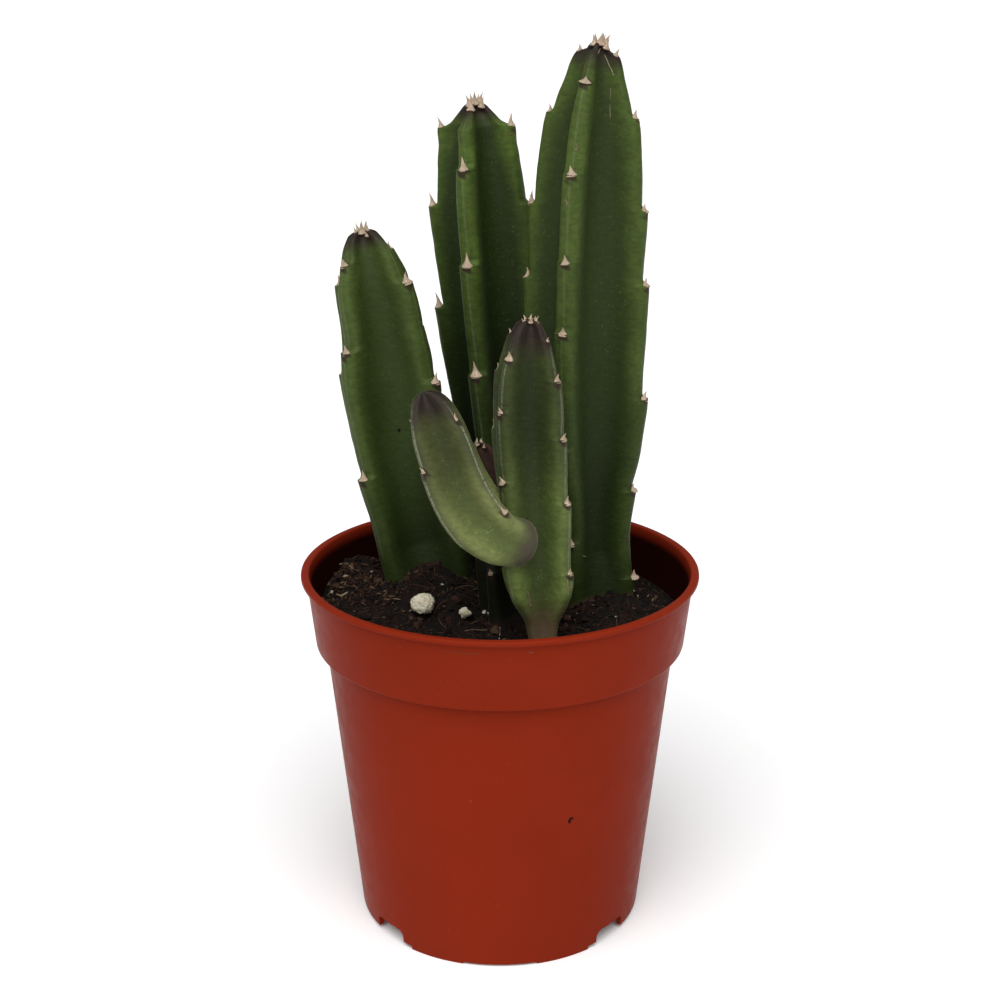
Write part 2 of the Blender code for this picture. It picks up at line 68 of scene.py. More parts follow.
# Pot
TURN_STEPS = 240
CORNER_STEPS = 4
RIM_RADIUS = 42.5
RIM_HEIGHT = 78.9
LIP_WIDTH = 1.7
LIP_DEPTH = 1.0
LIP_STEP = 0.45
COLLAR_TOP_RADIUS = 41.3
COLLAR_FOOT_RADIUS = 39.65
COLLAR_FOOT_HEIGHT = 63.1
BODY_TOP_RADIUS = 37.6
BAND_RADIUS = 36.45
BAND_HEIGHT = 52.4
BELT_HEIGHT = 9.0
FOOT_RADIUS = 31.0
FOOT_WIDTH = 1.0
WALL = 1.0
FLOOR_UNDERSIDE = 4.5
FLOOR_TOP = 5.7
SHARP_ANGLE = radians(40)
# The middle of the collar's wall, in metres: radius = INNER_WALL + COLLAR_SLOPE * height. Painted
# shade darkens what is inside it, the inner wall above the peat, and fades in and out between
# these heights
COLLAR_SLOPE = (COLLAR_TOP_RADIUS - COLLAR_FOOT_RADIUS) / (RIM_HEIGHT - COLLAR_FOOT_HEIGHT)
INNER_WALL = (COLLAR_FOOT_RADIUS - WALL / 2 - COLLAR_SLOPE * COLLAR_FOOT_HEIGHT) * MM
WALL_EDGE = 0.0001
INSIDE_SHADE_FROM = (0.064, 0.0645)
INSIDE_SHADE_TO = (0.076, 0.0784)
CORNER_CUTS = (50, 130, 230, 310)
# Cuts through the foot ring: angle round the pot, width, height and corner radius
FOOT_CUTS = (
    *((angle, 8.8, 3.7, 1.5) for angle in CORNER_CUTS),
    *((angle, 13.4, 0.9, 0.3) for angle in CORNER_CUTS),
    *((angle, 15.6, 0.5, 0.2) for angle in (0, 180)),
    *((angle, 33.0, 0.9, 0.3) for angle in (90, 270)),
)
CUT_DEPTH = 8.0
CUT_CENTRE = 30.5
DRAIN_RADIUS = 3.0
DRAIN_CIRCLE = 19.0
DRAIN_COUNT = 6
DRAIN_SIDES = 32
DRAIN_SPARE = 2

# Peat: its height, mounds and pits as centre, half width, half depth and rise
PEAT_CENTRE_HEIGHT = 70.4
PEAT_EDGE_DROP = 2.5
PEAT_RADIUS = 39.1
PEAT_RINGS = 94
PEAT_STEPS = 420
MOUND_FALL = 1.6
MOUNDS = (
    (-31.5, 9.5, 9.5, 8.5, 7.8),
    (-15.0, 2.5, 13.0, 11.0, 7.8),
    (25.0, -7.0, 12.0, 9.0, 4.5),
    (16.0, 24.0, 14.0, 10.0, 3.0),
    (-8.0, 32.0, 14.0, 8.0, 2.0),
    (3.2, -25.0, 3.4, 5.0, -2.6),
    (4.5, -13.5, 4.0, 4.5, -2.2),
)
# Lumps of the peat's surface: size and height, and how they calm down towards the pot's wall
PEAT_LUMPS = ((5.5, 0.75), (2.2, 0.55), (0.9, 0.3))
CALM_WIDTH = 2.0
CALM_LEAST = 0.15
# Radius and height down the pot's wall and over the floor, under the peat
PEAT_WALL = ((38.9, 65.2), (38.3, 64.7), (36.9, 64.4), (36.3, 63.8), (35.0, 52.7), (30.3, 7.0),
             (29.3, 6.0))
LITTER_SEED = 3
# Crumbs, whose sizes fall off by a Pareto law of this power, up to a limit
CRUMB_COUNT = 3800
CRUMB_SIZE = 0.25
CRUMB_POWER = 2.3
CRUMB_LIMIT = 1.3
CRUMB_TILT = 0.5
# Coarse bark chips on the left mound: the pixels they lie between and how steeply they stand
CHIP_COUNT = 330
CHIP_ACROSS = (322.0, 398.0)
CHIP_DOWN = (552.0, 606.0)
CHIP_TILT = 1.1
CHIP_SIZE = (0.35, 1.25)
# Fibres: length, bend at each of their steps, lift off the peat, thickness and its share at each
FIBRE_COUNT = 900
FIBRE_LENGTH = (1.5, 7.0)
FIBRE_BEND = (-0.35, 0.35)
FIBRE_LIFT = (0.1, 0.5)
FIBRE_THICK = (0.04, 0.11)
FIBRE_TAPER = (0.4, 0.8, 1, 1, 0.9, 0.7, 0.3)

# Perlite grains: centre and diameter
PERLITE = {
    "perlite_large": ((-16.1, -9.6, 73.9), 4.9),
    "perlite_small": ((-7.4, -11.2, 72.6), 2.4),
}
# A grain's broad swellings in millimetres, its lumps and pits as shares of its radius, each with
# how fine it is, and how flat the grain lies
GRAIN_BROAD = (0.95, 1.3)
GRAIN_LUMPS = (0.09, 3.7)
GRAIN_PITS = (0.05, 9.0)
GRAIN_FLAT = 0.9

# Pale bits on the peat: pixel, length and width, and tone from peat brown at 0 to white at 1
PALE_BITS = (
    ((442.3, 584.7), 0.7, 0.6, 1.0), ((484.5, 612.8), 1.3, 0.9, 0.9),
    ((372, 571.6), 0.9, 0.7, 0.8), ((344.2, 564.2), 2.9, 0.9, 0.62),
    ((352, 567), 2.2, 0.8, 0.5), ((346.3, 576.3), 1.5, 1.0, 0.72),
    ((332.6, 592.6), 1.0, 1.6, 0.8), ((341, 588), 1.9, 0.8, 0.52),
    ((344.7, 594.6), 2.0, 0.7, 0.66), ((340, 596), 1.7, 0.7, 0.56),
    ((392.6, 596.8), 2.6, 1.7, 0.42), ((379.5, 594.7), 2.0, 1.0, 0.5),
    ((386, 592), 1.3, 0.9, 0.5), ((393, 603.7), 2.2, 0.5, 0.6),
    ((392.6, 569), 1.3, 0.6, 0.6), ((401, 566), 1.1, 0.6, 0.45),
    ((478, 597), 1.3, 0.9, 0.55), ((474, 590), 1.6, 0.6, 0.5),
    ((620.9, 585.4), 2.0, 1.1, 0.75), ((609, 586), 3.2, 1.0, 0.4),
    ((632.5, 591.4), 1.3, 0.9, 0.8), ((636.4, 597.5), 0.7, 1.9, 0.78),
    ((587.7, 599.7), 1.6, 1.0, 0.55), ((609.8, 615.7), 0.8, 0.6, 0.85),
    ((615.9, 616.8), 0.6, 0.9, 0.8), ((593, 606), 1.0, 0.7, 0.5),
    ((587.5, 619), 0.6, 0.9, 0.7), ((567.5, 604), 0.8, 0.7, 0.6),
    ((411, 611), 1.0, 0.6, 0.6), ((404, 612), 0.9, 0.9, 0.5),
)

# Thin pale roots on the peat: pixels along each, thickness and tone
ROOTS = (
    (((452, 568), (459, 574), (466, 579), (474, 582), (482, 588), (489, 596), (495, 605),
      (499, 613), (500, 618)), 0.13, 0.45),
    (((499, 612), (500.2, 618), (499.6, 626), (500, 633), (499.2, 640)), 0.14, 0.85),
    (((487, 606), (491, 604.5), (495, 607), (495.5, 612), (491.5, 615), (487.5, 613.5)), 0.34, 0.9),
    (((502, 617.6), (506, 618.4), (510, 617.8), (513, 615.6)), 0.26, 0.85),
    (((455, 590), (463, 587), (471, 587), (478, 590)), 0.1, 0.5),
    (((470, 625), (478, 622), (486, 624), (494, 623)), 0.1, 0.5),
    (((464, 632), (473, 630.5), (483, 631), (491, 630)), 0.1, 0.6),
    (((647, 597.5), (650.5, 595.8), (653.5, 598), (652, 602)), 0.22, 0.6),
    (((565, 620), (571, 617), (578, 614)), 0.1, 0.7),
    (((385, 601), (393, 599.5), (401, 600.5)), 0.12, 0.6),
)

# Marks carried onto the stems and the pot: pixels along each, thickness and tone
MARKS = (
    (((604.5, 55), (607, 60), (609, 65), (612, 71), (613.5, 76)), 0.1, 0.72),
    (((610.8, 88), (610.6, 92), (610.3, 98)), 0.06, 0.66),
    (((609.8, 104), (610, 110), (610.2, 118)), 0.07, 0.68),
    (((600.5, 48), (599, 51), (598, 54)), 0.13, 0.7),
    (((589.5, 56), (586, 66), (583.5, 76)), 0.07, 0.52),
    (((585, 114.5), (587, 115)), 0.14, 0.6),
    (((575, 144), (577.5, 146.5), (576.5, 150), (574.5, 149)), 0.15, 0.62),
    (((565, 199), (567, 203), (565.5, 207)), 0.13, 0.62),
    (((527, 591), (528.5, 597), (530, 604), (531, 608)), 0.22, 0.6),
    (((567.5, 580), (567.8, 588), (568, 596)), 0.14, 0.72),
    (((398.3, 428.5), (399.5, 431.5)), 0.3, 0.05),
    (((583, 556), (585.5, 557.5)), 0.22, 0.6),
    (((506, 136), (511, 134), (514, 133)), 0.1, 0.55),
    (((568.5, 822.5), (570.5, 818.5), (573.5, 818.3)), 0.2, 0.03),
    (((570.2, 819.5), (569.5, 823.5)), 0.16, 0.03),
    (((441, 650.5), (462, 653), (480, 654.3)), 0.045, 0.5),
    (((528, 652), (534, 652.6)), 0.07, 0.6),
)

# Section of a stem: the round nose of each rib, its flanks, the grooves, and the round foot
RIBS = 4
NOSE_SHARE = 0.30
NOSE_TURN = radians(80)
VALLEY_SHARE = 0.40
TIP_FOLD = 0.17
TIP_FOLD_REACH = 3.5
CREST_SHARE = 0.17
CREST_LEAST = 0.1
CREST_LIMIT = 2.1
FLANK_PULL = 0.34
GROOVE_PULL = 0.42
ROUND_SHARE = 0.8
ROUND_ZONE = 10.0
SOIL_LINE_ROUND = 0.5
FAR_ROUND = 3.0
NOSE_STOPS = 6
FLANK_STOPS = 9

# Rings along a stem: close at the tip and at each shelf, even elsewhere
FIRST_RINGS = (0.04, 0.12, 0.25, 0.4)
EVEN_FROM = 0.6
RING_GAP = 0.5
LEAST_GAP = 0.03
SHELF_GAP = 0.16
SHELF_ABOVE = 1.3
SHELF_BELOW = 0.5
SHELF_EDGE = 0.04

# Crests between shelves: the scoop over each shelf, how far it reaches down the flank, the gap
# taken after the last, and the reach of a crest that is cut in full
STEP_LENGTH = 1.25
STEP_SHARE = 0.3
STEP_SQUARE = 2.4
SHELF_ZONE = 5.5
SHELF_SHARE = 0.55
SHELF_FADE = 1.5
LAST_GAP = 30.0
FULL_CREST = 10.0
# The blunt tip, the length in the peat, the reach of a tangent, and the skin's uneven lumps
TIP_ZONE = 1.3
TIP_LEAST = 0.02
BURIED = 5.0
TANGENT_REACH = 0.5
WOBBLES = ((7.0, 0.16), (2.2, 0.06))
# The branch's round lower end, by depth and share of its last ring
DOME = ((0.7, 0.97), (1.4, 0.88), (2.1, 0.73), (2.7, 0.52), (3.05, 0.27))
DOME_END = 3.2
FAR_OFF = 9.0

# Teeth: whole ones at size 1, smaller near the tip, and how unlike one another they are
TOOTH_HEIGHT = 3.4
TOOTH_WIDTH = 1.35
TOOTH_DEPTH = 1.05
TOOTH_INSET = 0.85
TOOTH_SUNK = 0.45
TOOTH_BOW = 0.25
TOOTH_LEAN = radians(5)
SMALL_LEAN = 0.6
YOUNG_ZONE = 6.0
YOUNG_TOOTH = 0.8
LEAN_SPREAD = (-0.14, 0.16)
SIZE_SPREAD = (0.88, 1.1)
TILT_SPREAD = (-0.12, 0.12)
GIRTH_SPREAD = (0.85, 1.1)
# A broken tooth's share of full height, and how fast a low tooth's inset shrinks with its height
STUB = 0.42
LOW_INSET = 1.25
# Teeth crowded at the tip: distance from the axis and below the tip, and angle round it
CROWN = ((0.2, 0.2, 2.6), (0.9, 0.4, 0.2), (1.1, 0.3, 1.5), (1.0, 0.5, 4.0), (1.3, 0.7, 5.3),
         (1.5, 0.8, 2.6), (1.8, 1.2, 0.9))
CROWN_TOOTH = 0.78
TOOTH_SIDES = 12
# A tooth's outline: share of its height and of its width
TOOTH_OUTLINE = ((0.0, 0.62), (0.035, 0.9), (0.08, 1.0), (0.13, 0.98), (0.19, 0.86),
                 (0.26, 0.69), (0.34, 0.54), (0.44, 0.41), (0.56, 0.3), (0.7, 0.2),
                 (0.84, 0.11), (0.95, 0.04))

# Stems: path is the axis from the soil up, and distances are from the tip down. crest is a rib's
# reach, teeth the shelves of each pair of ribs, turn the ribs' angle at the tip and at the foot,
# swell the depth of the cuts, tooth and spike the size and height of teeth, young their share
# of size at the tip, and stub the shelf with broken ones
STEMS = {
    "stem_tall": dict(
        path=((19.3, 3.5, 72.4), (18.3, 3.0, 100.4), (17.7, 3.0, 120.4), (17.6, 3.0, 142.4),
              (18.0, 3.2, 164.4), (18.8, 3.4, 180.4), (19.6, 3.5, 187.4)),
        crest=((0, 2.2), (1.5, 2.7), (2.3, 4.3), (4, 5.4), (7, 6.5), (12, 8.8), (16, 10.1),
               (24, 11.7), (32, 12.6), (47, 13.5), (61, 13.8), (75, 13.6), (85, 12.6),
               (94, 10.9), (103, 10.4), (110, 11.4), (115, 11.4)),
        teeth=((7.6, 25, 42, 56, 80.5, 101.5), (2.3, 14.3, 32.5, 47.5, 71.5, 91.5, 111)),
        turn=(-20, -26), swell=1.3, young=1.0, tooth=0.92, spike=0.7, stub=7.6),
    "stem_back": dict(
        path=((3.0, 19.5, 72.4), (0.2, 19.0, 100.4), (-1.9, 19.0, 126.4), (-3.4, 19.0, 147.4),
              (-4.7, 19.0, 165.4), (-5.3, 19.0, 174.7)),
        crest=((0, 1.7), (1.5, 3.2), (3, 5.2), (4.2, 7.0), (5.2, 8.5), (9, 9.1), (12, 10.0),
               (21.5, 12.0), (42, 12.6), (60, 12.4), (80, 11.6), (92, 10.6), (103, 9.8)),
        teeth=((1.6, 13.0, 32.5, 56, 81.5), (5.2, 21.5, 43.5, 68, 93.5)),
        turn=(-19, -19), swell=2.2, young=1.0, tooth=1.0, spike=1.05),
    "stem_left": dict(
        path=((-15.7, 10.5, 72.4), (-19.1, 10.5, 88.4), (-22.4, 10.5, 103.5),
              (-23.9, 10.5, 119.6), (-26.2, 10.5, 135.7), (-28.8, 10.5, 149.2)),
        crest=((0, 3.1), (1.5, 4.5), (4, 6.7), (7, 8.4), (12, 10.7), (22, 12.1), (32, 13.9),
               (46, 13.1), (60, 12.9), (70, 13.6), (79, 14.0)),
        teeth=((5.8, 23.5, 50.5), (11.4, 32, 61.5)),
        turn=(-38, -38), swell=1.9, young=1.0, tooth=0.92, spike=0.85),
    "stem_front": dict(
        path=((8.6, -21.5, 71.4), (8.2, -20.4, 78.4), (7.4, -19.4, 86.4), (6.8, -18.6, 96.4),
              (5.8, -18.0, 110.4), (5.4, -18.0, 124.4), (5.8, -18.0, 136.4)),
        crest=((0, 2.2), (3, 4.6), (7, 6.4), (12, 8.1), (20, 9.1), (36, 9.3), (46, 9.1),
               (52, 8.9), (56, 8.2), (59, 6.6), (62, 4.8), (65.5, 4.0)),
        teeth=((7, 17, 31, 44.5), (3.5, 11.2, 23, 36.5, 51.5)),
        turn=(-40, -40), swell=0.9, young=0.8, tooth=0.66, spike=0.85),
    "stem_short": dict(
        path=((2.2, -6.6, 71.4), (1.0, -5.4, 84.4), (-1.6, -4.2, 96.4), (-5.0, -3.6, 107.4)),
        crest=((0, 2.0), (3, 3.9), (8, 5.2), (16, 6.2), (26, 7.4), (38, 8.2)),
        teeth=((4, 15, 27), (8.5, 22)),
        turn=(-20, -30), swell=0.7, young=0.8, tooth=0.6, spike=0.9),
}
BRANCH_OF = "stem_front"
BRANCH = dict(
    path=((3.8, -25.6, 93.0), (1.4, -26.6, 94.2), (-1.7, -27.4, 96.5), (-5.1, -27.9, 100.4),
          (-8.2, -28.0, 106.0), (-11.3, -28.0, 115.0), (-14.6, -28.0, 124.4)),
    crest=((0, 2.0), (3, 4.9), (8, 6.8), (14, 7.4), (26, 8.0), (33, 7.3), (37, 6.3), (41, 5.6)),
    teeth=((14.0,), (6.5, 28.3)),
    turn=(-41, -41), swell=0.6, young=0.7, tooth=0.66, spike=0.85)

# A stem's look: greens of grooves and ribs, whose difference is partly painted light and shade,
# reach of the tip's flush and of the foot's tan, strength of the crests' painted sheen line and
# of the painted shade beside them, how bright its low and high parts are painted, as painted
# light and shade, and the height between them, its sheen, and its own colours of tip and foot,
# the short stem's near-black foot being painted shade
PLAIN_LOOK = dict(foot=1.0, crest_sheen=0.12, high=1.0, sheen=0.04)
LOOKS = {
    "stem_tall": dict(PLAIN_LOOK, dark=(0.021, 0.034, 0.0065), bright=(0.062, 0.096, 0.017),
                      flush=5.5, low=0.6, middle=45.0),
    "stem_back": dict(PLAIN_LOOK, dark=(0.016, 0.027, 0.005), bright=(0.066, 0.106, 0.016),
                      flush=4.5, low=0.22, middle=48.0),
    "stem_left": dict(PLAIN_LOOK, dark=(0.026, 0.042, 0.008), bright=(0.058, 0.088, 0.018),
                      flush=4.0, low=0.5, middle=22.0),
    "stem_front": dict(dark=(0.017, 0.024, 0.006), bright=(0.052, 0.07, 0.017), flush=8.0,
                       foot=9.0, crest_sheen=0.32, low=2.6, high=0.85, middle=30.0, sheen=0.16,
                       crest_shade=0.25),
    # The short stem's near-black foot colour is painted shade, where it stands among the other
    # stems
    "stem_short": dict(dark=(0.02, 0.026, 0.009), bright=(0.04, 0.046, 0.015), flush=24.0,
                       foot=0.3, crest_sheen=0.0, low=0.2, high=1.0, middle=20.0, sheen=0.08,
                       tip=(0.045, 0.021, 0.017), tan=(0.016, 0.01, 0.008)),
    "branch": dict(dark=(0.04, 0.05, 0.015), bright=(0.1, 0.112, 0.038), flush=6.2, foot=3.4,
                   crest_sheen=0.6, low=2.1, high=0.8, middle=17.0, sheen=0.24, crest_shade=0.62,
                   tan=(0.058, 0.044, 0.034)),
}
FLUSH_COLOUR = (0.02, 0.0115, 0.011)
FOOT_COLOUR = (0.085, 0.052, 0.032)
SPOT_COLOUR = (0.022, 0.01, 0.008)
# Painted sheen: the pale line along the crests
CREST_SHEEN_COLOUR = (0.26, 0.28, 0.18)
# Painted shade: the grey band beside the crests
CREST_SHADE_COLOUR = (0.04, 0.042, 0.024)
HORN_TAN = (0.37, 0.3, 0.21)
HORN_PINK = (0.46, 0.35, 0.26)
HORN_STREAK = (0.2, 0.12, 0.075)
HORN_FOOT = (0.1, 0.045, 0.028)
POT_RED = (0.208, 0.0182, 0.0054)
POT_DUST = (0.3, 0.11, 0.06)
# Painted shade for the pot's inner wall above the peat
POT_INSIDE_SHADE = (0.008, 0.002, 0.0015)
PEAT_BLACK = (0.003, 0.002, 0.0016)
PEAT_BROWN = (0.01, 0.006, 0.0042)
PEAT_RUST = (0.024, 0.01, 0.006)
# Painted shade for the peat's hollows
PEAT_HOLLOW_SHADE = (0.003, 0.002, 0.0015)
# Crumbs, bark and roots by tone: near black, rust, straw and white
TONES = ((0.0, (0.0034, 0.0022, 0.0018)), (0.18, (0.012, 0.0054, 0.0036)),
         (0.38, (0.046, 0.02, 0.012)), (0.55, (0.13, 0.085, 0.045)),
         (0.75, (0.3, 0.24, 0.17)), (1.0, (0.66, 0.63, 0.55)))
CRUMB_GRIT = (0.012, 0.007, 0.005)
PERLITE_CREAM = (0.5, 0.44, 0.31)
PERLITE_PALE = (0.64, 0.6, 0.47)
# Painted shade for the perlite grain's pits
PERLITE_PIT_SHADE = (0.3, 0.25, 0.17)
NOISE_ROUGHNESS = 0.55


# Curves through tables

class Through:
    """A smooth curve through (x, value) pairs, with each slope taken across the neighbours."""

    def __init__(self, table):
        self.x = np.array([x for x, _ in table], float)
        self.v = np.array([value for _, value in table], float)
        low = np.maximum(np.arange(len(self.x)) - 1, 0)
        high = np.minimum(np.arange(len(self.x)) + 1, len(self.x) - 1)
        run = (self.x[high] - self.x[low]).reshape(-1, *[1] * (self.v.ndim - 1))
        self.slope = (self.v[high] - self.v[low]) / run

    def __call__(self, x):
        x = np.clip(np.asarray(x, float), self.x[0], self.x[-1])
        i = np.clip(np.searchsorted(self.x, x, side="right") - 1, 0, len(self.x) - 2)
        span = self.x[i + 1] - self.x[i]
        t = (x - self.x[i]) / span
        if self.v.ndim > 1:
            span, t = span[..., None], t[..., None]
        rise = (3 - 2 * t) * t * t
        return (self.v[i] * (1 - rise) + self.v[i + 1] * rise
                + self.slope[i] * (span * t * (1 - t) ** 2)
                - self.slope[i + 1] * (span * t * t * (1 - t)))


def smooth_line(places, fineness):
    """Points along a smooth curve through places, so many for each place."""
    line = Through(list(enumerate(places)))
    return line(np.linspace(0, len(places) - 1, fineness * len(places)))


def circle(count):
    """Angles at even steps round a circle."""
    return [2 * pi * k / count for k in range(count)]


def unit(vectors):
    return vectors / np.linalg.norm(vectors, axis=-1, keepdims=True)


def lumps(points, size, seed):
    """Smooth noise, about -1 to 1, at points in millimetres, in lumps of a size."""
    shift = Vector([seed * part for part in SEED_SHIFT])
    return np.array([noise.noise(Vector(p) / size + shift) for p in points])


# Meshes and pieces

class Shape:
    """Points in millimetres, faces and a float for each point, gathered from many small parts."""

    def __init__(self):
        self.points, self.faces, self.values = [], [], []

    def add(self, points, faces, values):
        first = len(self.points)
        self.points += [tuple(p) for p in points]
        self.faces += [tuple(first + k for k in face) for face in faces]
        self.values += list(values) if np.ndim(values) else [values] * len(points)

    def add_loft(self, rings, low, high, values):
        """Rings closed by a point at each end, with one value, or one for each ring and end."""
        count, around = len(rings), len(rings[0])
        points = [p for ring in rings for p in ring] + [low, high]
        faces = [(i * around + j, i * around + (j + 1) % around,
                  (i + 1) * around + (j + 1) % around, (i + 1) * around + j)
                 for i in range(count - 1) for j in range(around)]
        end = (count - 1) * around
        faces += [((j + 1) % around, j, count * around) for j in range(around)]
        faces += [(end + j, end + (j + 1) % around, count * around + 1) for j in range(around)]
        if np.ndim(values):
            values = [v for v in values[:-2] for _ in range(around)] + list(values[-2:])
        self.add(points, faces, values)

    def mesh(self, name, attribute=None):
        mesh = bpy.data.meshes.new(name)
        mesh.from_pydata((np.array(self.points) * MM).tolist(), [], self.faces)
        face_outwards(mesh)
        if attribute:
            put_attribute(mesh, attribute, self.values)
        return mesh


def face_outwards(mesh):
    shape = bmesh.new()
    shape.from_mesh(mesh)
    bmesh.ops.recalc_face_normals(shape, faces=shape.faces)
    shape.to_mesh(mesh)
    shape.free()


def put_attribute(mesh, name, values):
    layer = mesh.attributes.new(name, "FLOAT", "POINT")
    layer.data.foreach_set("value", np.asarray(values, np.float32))


def link(thing):
    bpy.context.scene.collection.objects.link(thing)
    return thing


def new_piece(name, mesh, material, replaced=(), smooth=True):
    thing = link(bpy.data.objects.new(name, mesh))
    mesh.materials.append(material)
    if smooth:
        mesh.shade_smooth()
    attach(thing, BODY)
    if replaced:
        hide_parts(*replaced)
    return thing


def tree_of(thing):
    mesh = thing.data
    return BVHTree.FromPolygons([v.co for v in mesh.vertices], [p.vertices for p in mesh.polygons])


def ray_through(pixel):
    """The camera's place and the direction of its ray through a pixel of the photograph."""
    focal = CAMERA_LENS / SENSOR_WIDTH * FRAME_WIDTH
    view = Vector((pixel[0] - FRAME_WIDTH / 2, FRAME_WIDTH / 2 - pixel[1], -focal))
    return Vector(CAMERA_PLACE), (Matrix.Rotation(CAMERA_TILT, 3, "X") @ view).normalized()


def land(tree, pixel):
    """Where a pixel's ray meets a tree of faces, in millimetres, and the normal there."""
    start, direction = ray_through(pixel)
    place, normal, _, _ = tree.ray_cast(start * MM, direction)
    if place is None:
        return None
    return np.array(place) / MM, np.array(normal)


def landed(tree, pixels):
    """Places where pixels' rays meet a surface."""
    return [spot[0] for spot in (land(tree, pixel) for pixel in pixels) if spot]


def tube(shape, points, radii, sides, value):
    """A thin closed tube along points, added to a shape."""
    points = np.asarray(points, float)
    along = unit(np.gradient(points, axis=0))
    rings = []
    for place, way, radius in zip(points, along, radii):
        across = unit(np.cross(way, ASKEW))
        other = np.cross(way, across)
        rings.append([place + radius * (across * cos(a) + other * sin(a))
                      for a in circle(sides)])
    shape.add_loft(rings, points[0], points[-1], value)


def tapered(count, thin):
    """Shares of a thread's thickness along its points: thin at both ends."""
    steps = np.arange(count)
    return np.minimum(1.0, thin + np.minimum(steps, steps[::-1]) / 3)


# Pot

def rounded(outline):
    """An outline of (radius, height, corner size) with each corner drawn as a short curve."""
    made = []
    for k, (radius, height, corner) in enumerate(outline):
        here = np.array((radius, height))
        if not corner:
            made.append(here)
            continue
        before = np.array(outline[k - 1][:2]) - here
        after = np.array(outline[k + 1][:2]) - here
        start = here + before * min(corner / np.linalg.norm(before), 0.5)
        end = here + after * min(corner / np.linalg.norm(after), 0.5)
        for t in np.linspace(0, 1, CORNER_STEPS + 1):
            made.append((1 - t) ** 2 * start + 2 * t * (1 - t) * here + t * t * end)
    return made


def pot_outline():
    """From the middle of the floor up inside, over the lip, down outside and under."""
    slope = (BAND_RADIUS - FOOT_RADIUS) / BAND_HEIGHT
    lip_foot = RIM_HEIGHT - LIP_DEPTH
    ledge = COLLAR_FOOT_HEIGHT + WALL
    belt = FOOT_RADIUS + slope * BELT_HEIGHT
    return rounded((
        (0.0, FLOOR_TOP, 0),
        (FOOT_RADIUS + slope * FLOOR_TOP - WALL, FLOOR_TOP, 1.0),
        (BAND_RADIUS - WALL, BAND_HEIGHT, 0.8),
        (BODY_TOP_RADIUS - WALL, ledge, 0.6),
        (COLLAR_FOOT_RADIUS - WALL, ledge + 0.2, 0.5),
        (COLLAR_TOP_RADIUS - WALL, lip_foot - WALL, 0.8),
        (RIM_RADIUS - LIP_WIDTH, RIM_HEIGHT, 0.45),
        (RIM_RADIUS, RIM_HEIGHT, 0.5),
        (RIM_RADIUS, lip_foot, 0.3),
        (COLLAR_TOP_RADIUS, lip_foot - LIP_STEP, 0.35),
        (COLLAR_FOOT_RADIUS, COLLAR_FOOT_HEIGHT, 0.5),
        (BODY_TOP_RADIUS, COLLAR_FOOT_HEIGHT - 0.15, 0.3),
        (BAND_RADIUS, BAND_HEIGHT, 2.0),
        (belt, BELT_HEIGHT, 0),
        (FOOT_RADIUS, 0.0, 0.2),
        (FOOT_RADIUS - FOOT_WIDTH, 0.0, 0.2),
        (FOOT_RADIUS - FOOT_WIDTH + 0.1, FLOOR_UNDERSIDE, 0.3),
        (0.0, FLOOR_UNDERSIDE, 0),
    ))


def foot_cutter(angle, width, height, corner):
    """A bar across the foot ring at an angle round the pot, with round upper corners."""
    half = width / 2
    outline = rounded(((-half, -height, 0), (-half, height, corner), (half, height, corner),
                       (half, -height, 0)))
    shape = bar([[(x * MM, (depth - CUT_CENTRE) * MM, z * MM) for x, z in outline]
                 for depth in (-CUT_DEPTH / 2, CUT_DEPTH / 2)])
    bmesh.ops.rotate(shape, matrix=Matrix.Rotation(radians(angle), 3, "Z"), verts=shape.verts)
    return shape


def drain_cutter(angle):
    """A round bar through the pot's floor at an angle round the pot."""
    centre = Vector((cos(angle), sin(angle), 0)) * DRAIN_CIRCLE
    return bar([[Vector((centre.x + DRAIN_RADIUS * cos(a), centre.y + DRAIN_RADIUS * sin(a),
                         height)) * MM for a in circle(DRAIN_SIDES)]
                for height in (FLOOR_UNDERSIDE - DRAIN_SPARE, FLOOR_TOP + DRAIN_SPARE)])


def bar(rings):
    """A closed bar between two rings of points in metres."""
    shape = bmesh.new()
    low, high = [[shape.verts.new(point) for point in ring] for ring in rings]
    shape.faces.new(low)
    shape.faces.new(high[::-1])
    for j in range(len(low)):
        k = (j + 1) % len(low)
        shape.faces.new((low[j], high[j], high[k], low[k]))
    bmesh.ops.recalc_face_normals(shape, faces=shape.faces)
    return shape


def make_pot():
    outline = pot_outline()
    turns = circle(TURN_STEPS)
    rings = [[(r * cos(a), r * sin(a), z) for a in turns] for r, z in outline[1:-1]]
    shape = Shape()
    shape.add_loft(rings, (0, 0, outline[0][1]), (0, 0, outline[-1][1]), 0)
    pot = new_piece("pot_shell", shape.mesh("pot"), pot_material(), ("pot",))
    shapes = [foot_cutter(*cut) for cut in FOOT_CUTS]
    shapes += [drain_cutter(2 * pi / DRAIN_COUNT * (k + 0.5)) for k in range(DRAIN_COUNT)]
    cutters = []
    for k, shape in enumerate(shapes):
        cut_mesh = bpy.data.meshes.new("cut")
        shape.to_mesh(cut_mesh)
        cutters.append(link(bpy.data.objects.new(f"cut_{k}", cut_mesh)))
        cut = pot.modifiers.new("cut", "BOOLEAN")
        cut.operation = "DIFFERENCE"
        cut.object = cutters[-1]
    bpy.context.view_layer.update()
    done = bpy.data.meshes.new_from_object(pot.evaluated_get(bpy.context.evaluated_depsgraph_get()))
    pot.modifiers.clear()
    pot.data = done
    for cutter in cutters:
        bpy.data.objects.remove(cutter)
    done.shade_smooth()
    done.set_sharp_from_angle(angle=SHARP_ANGLE)
    return pot


# Peat and what lies on it

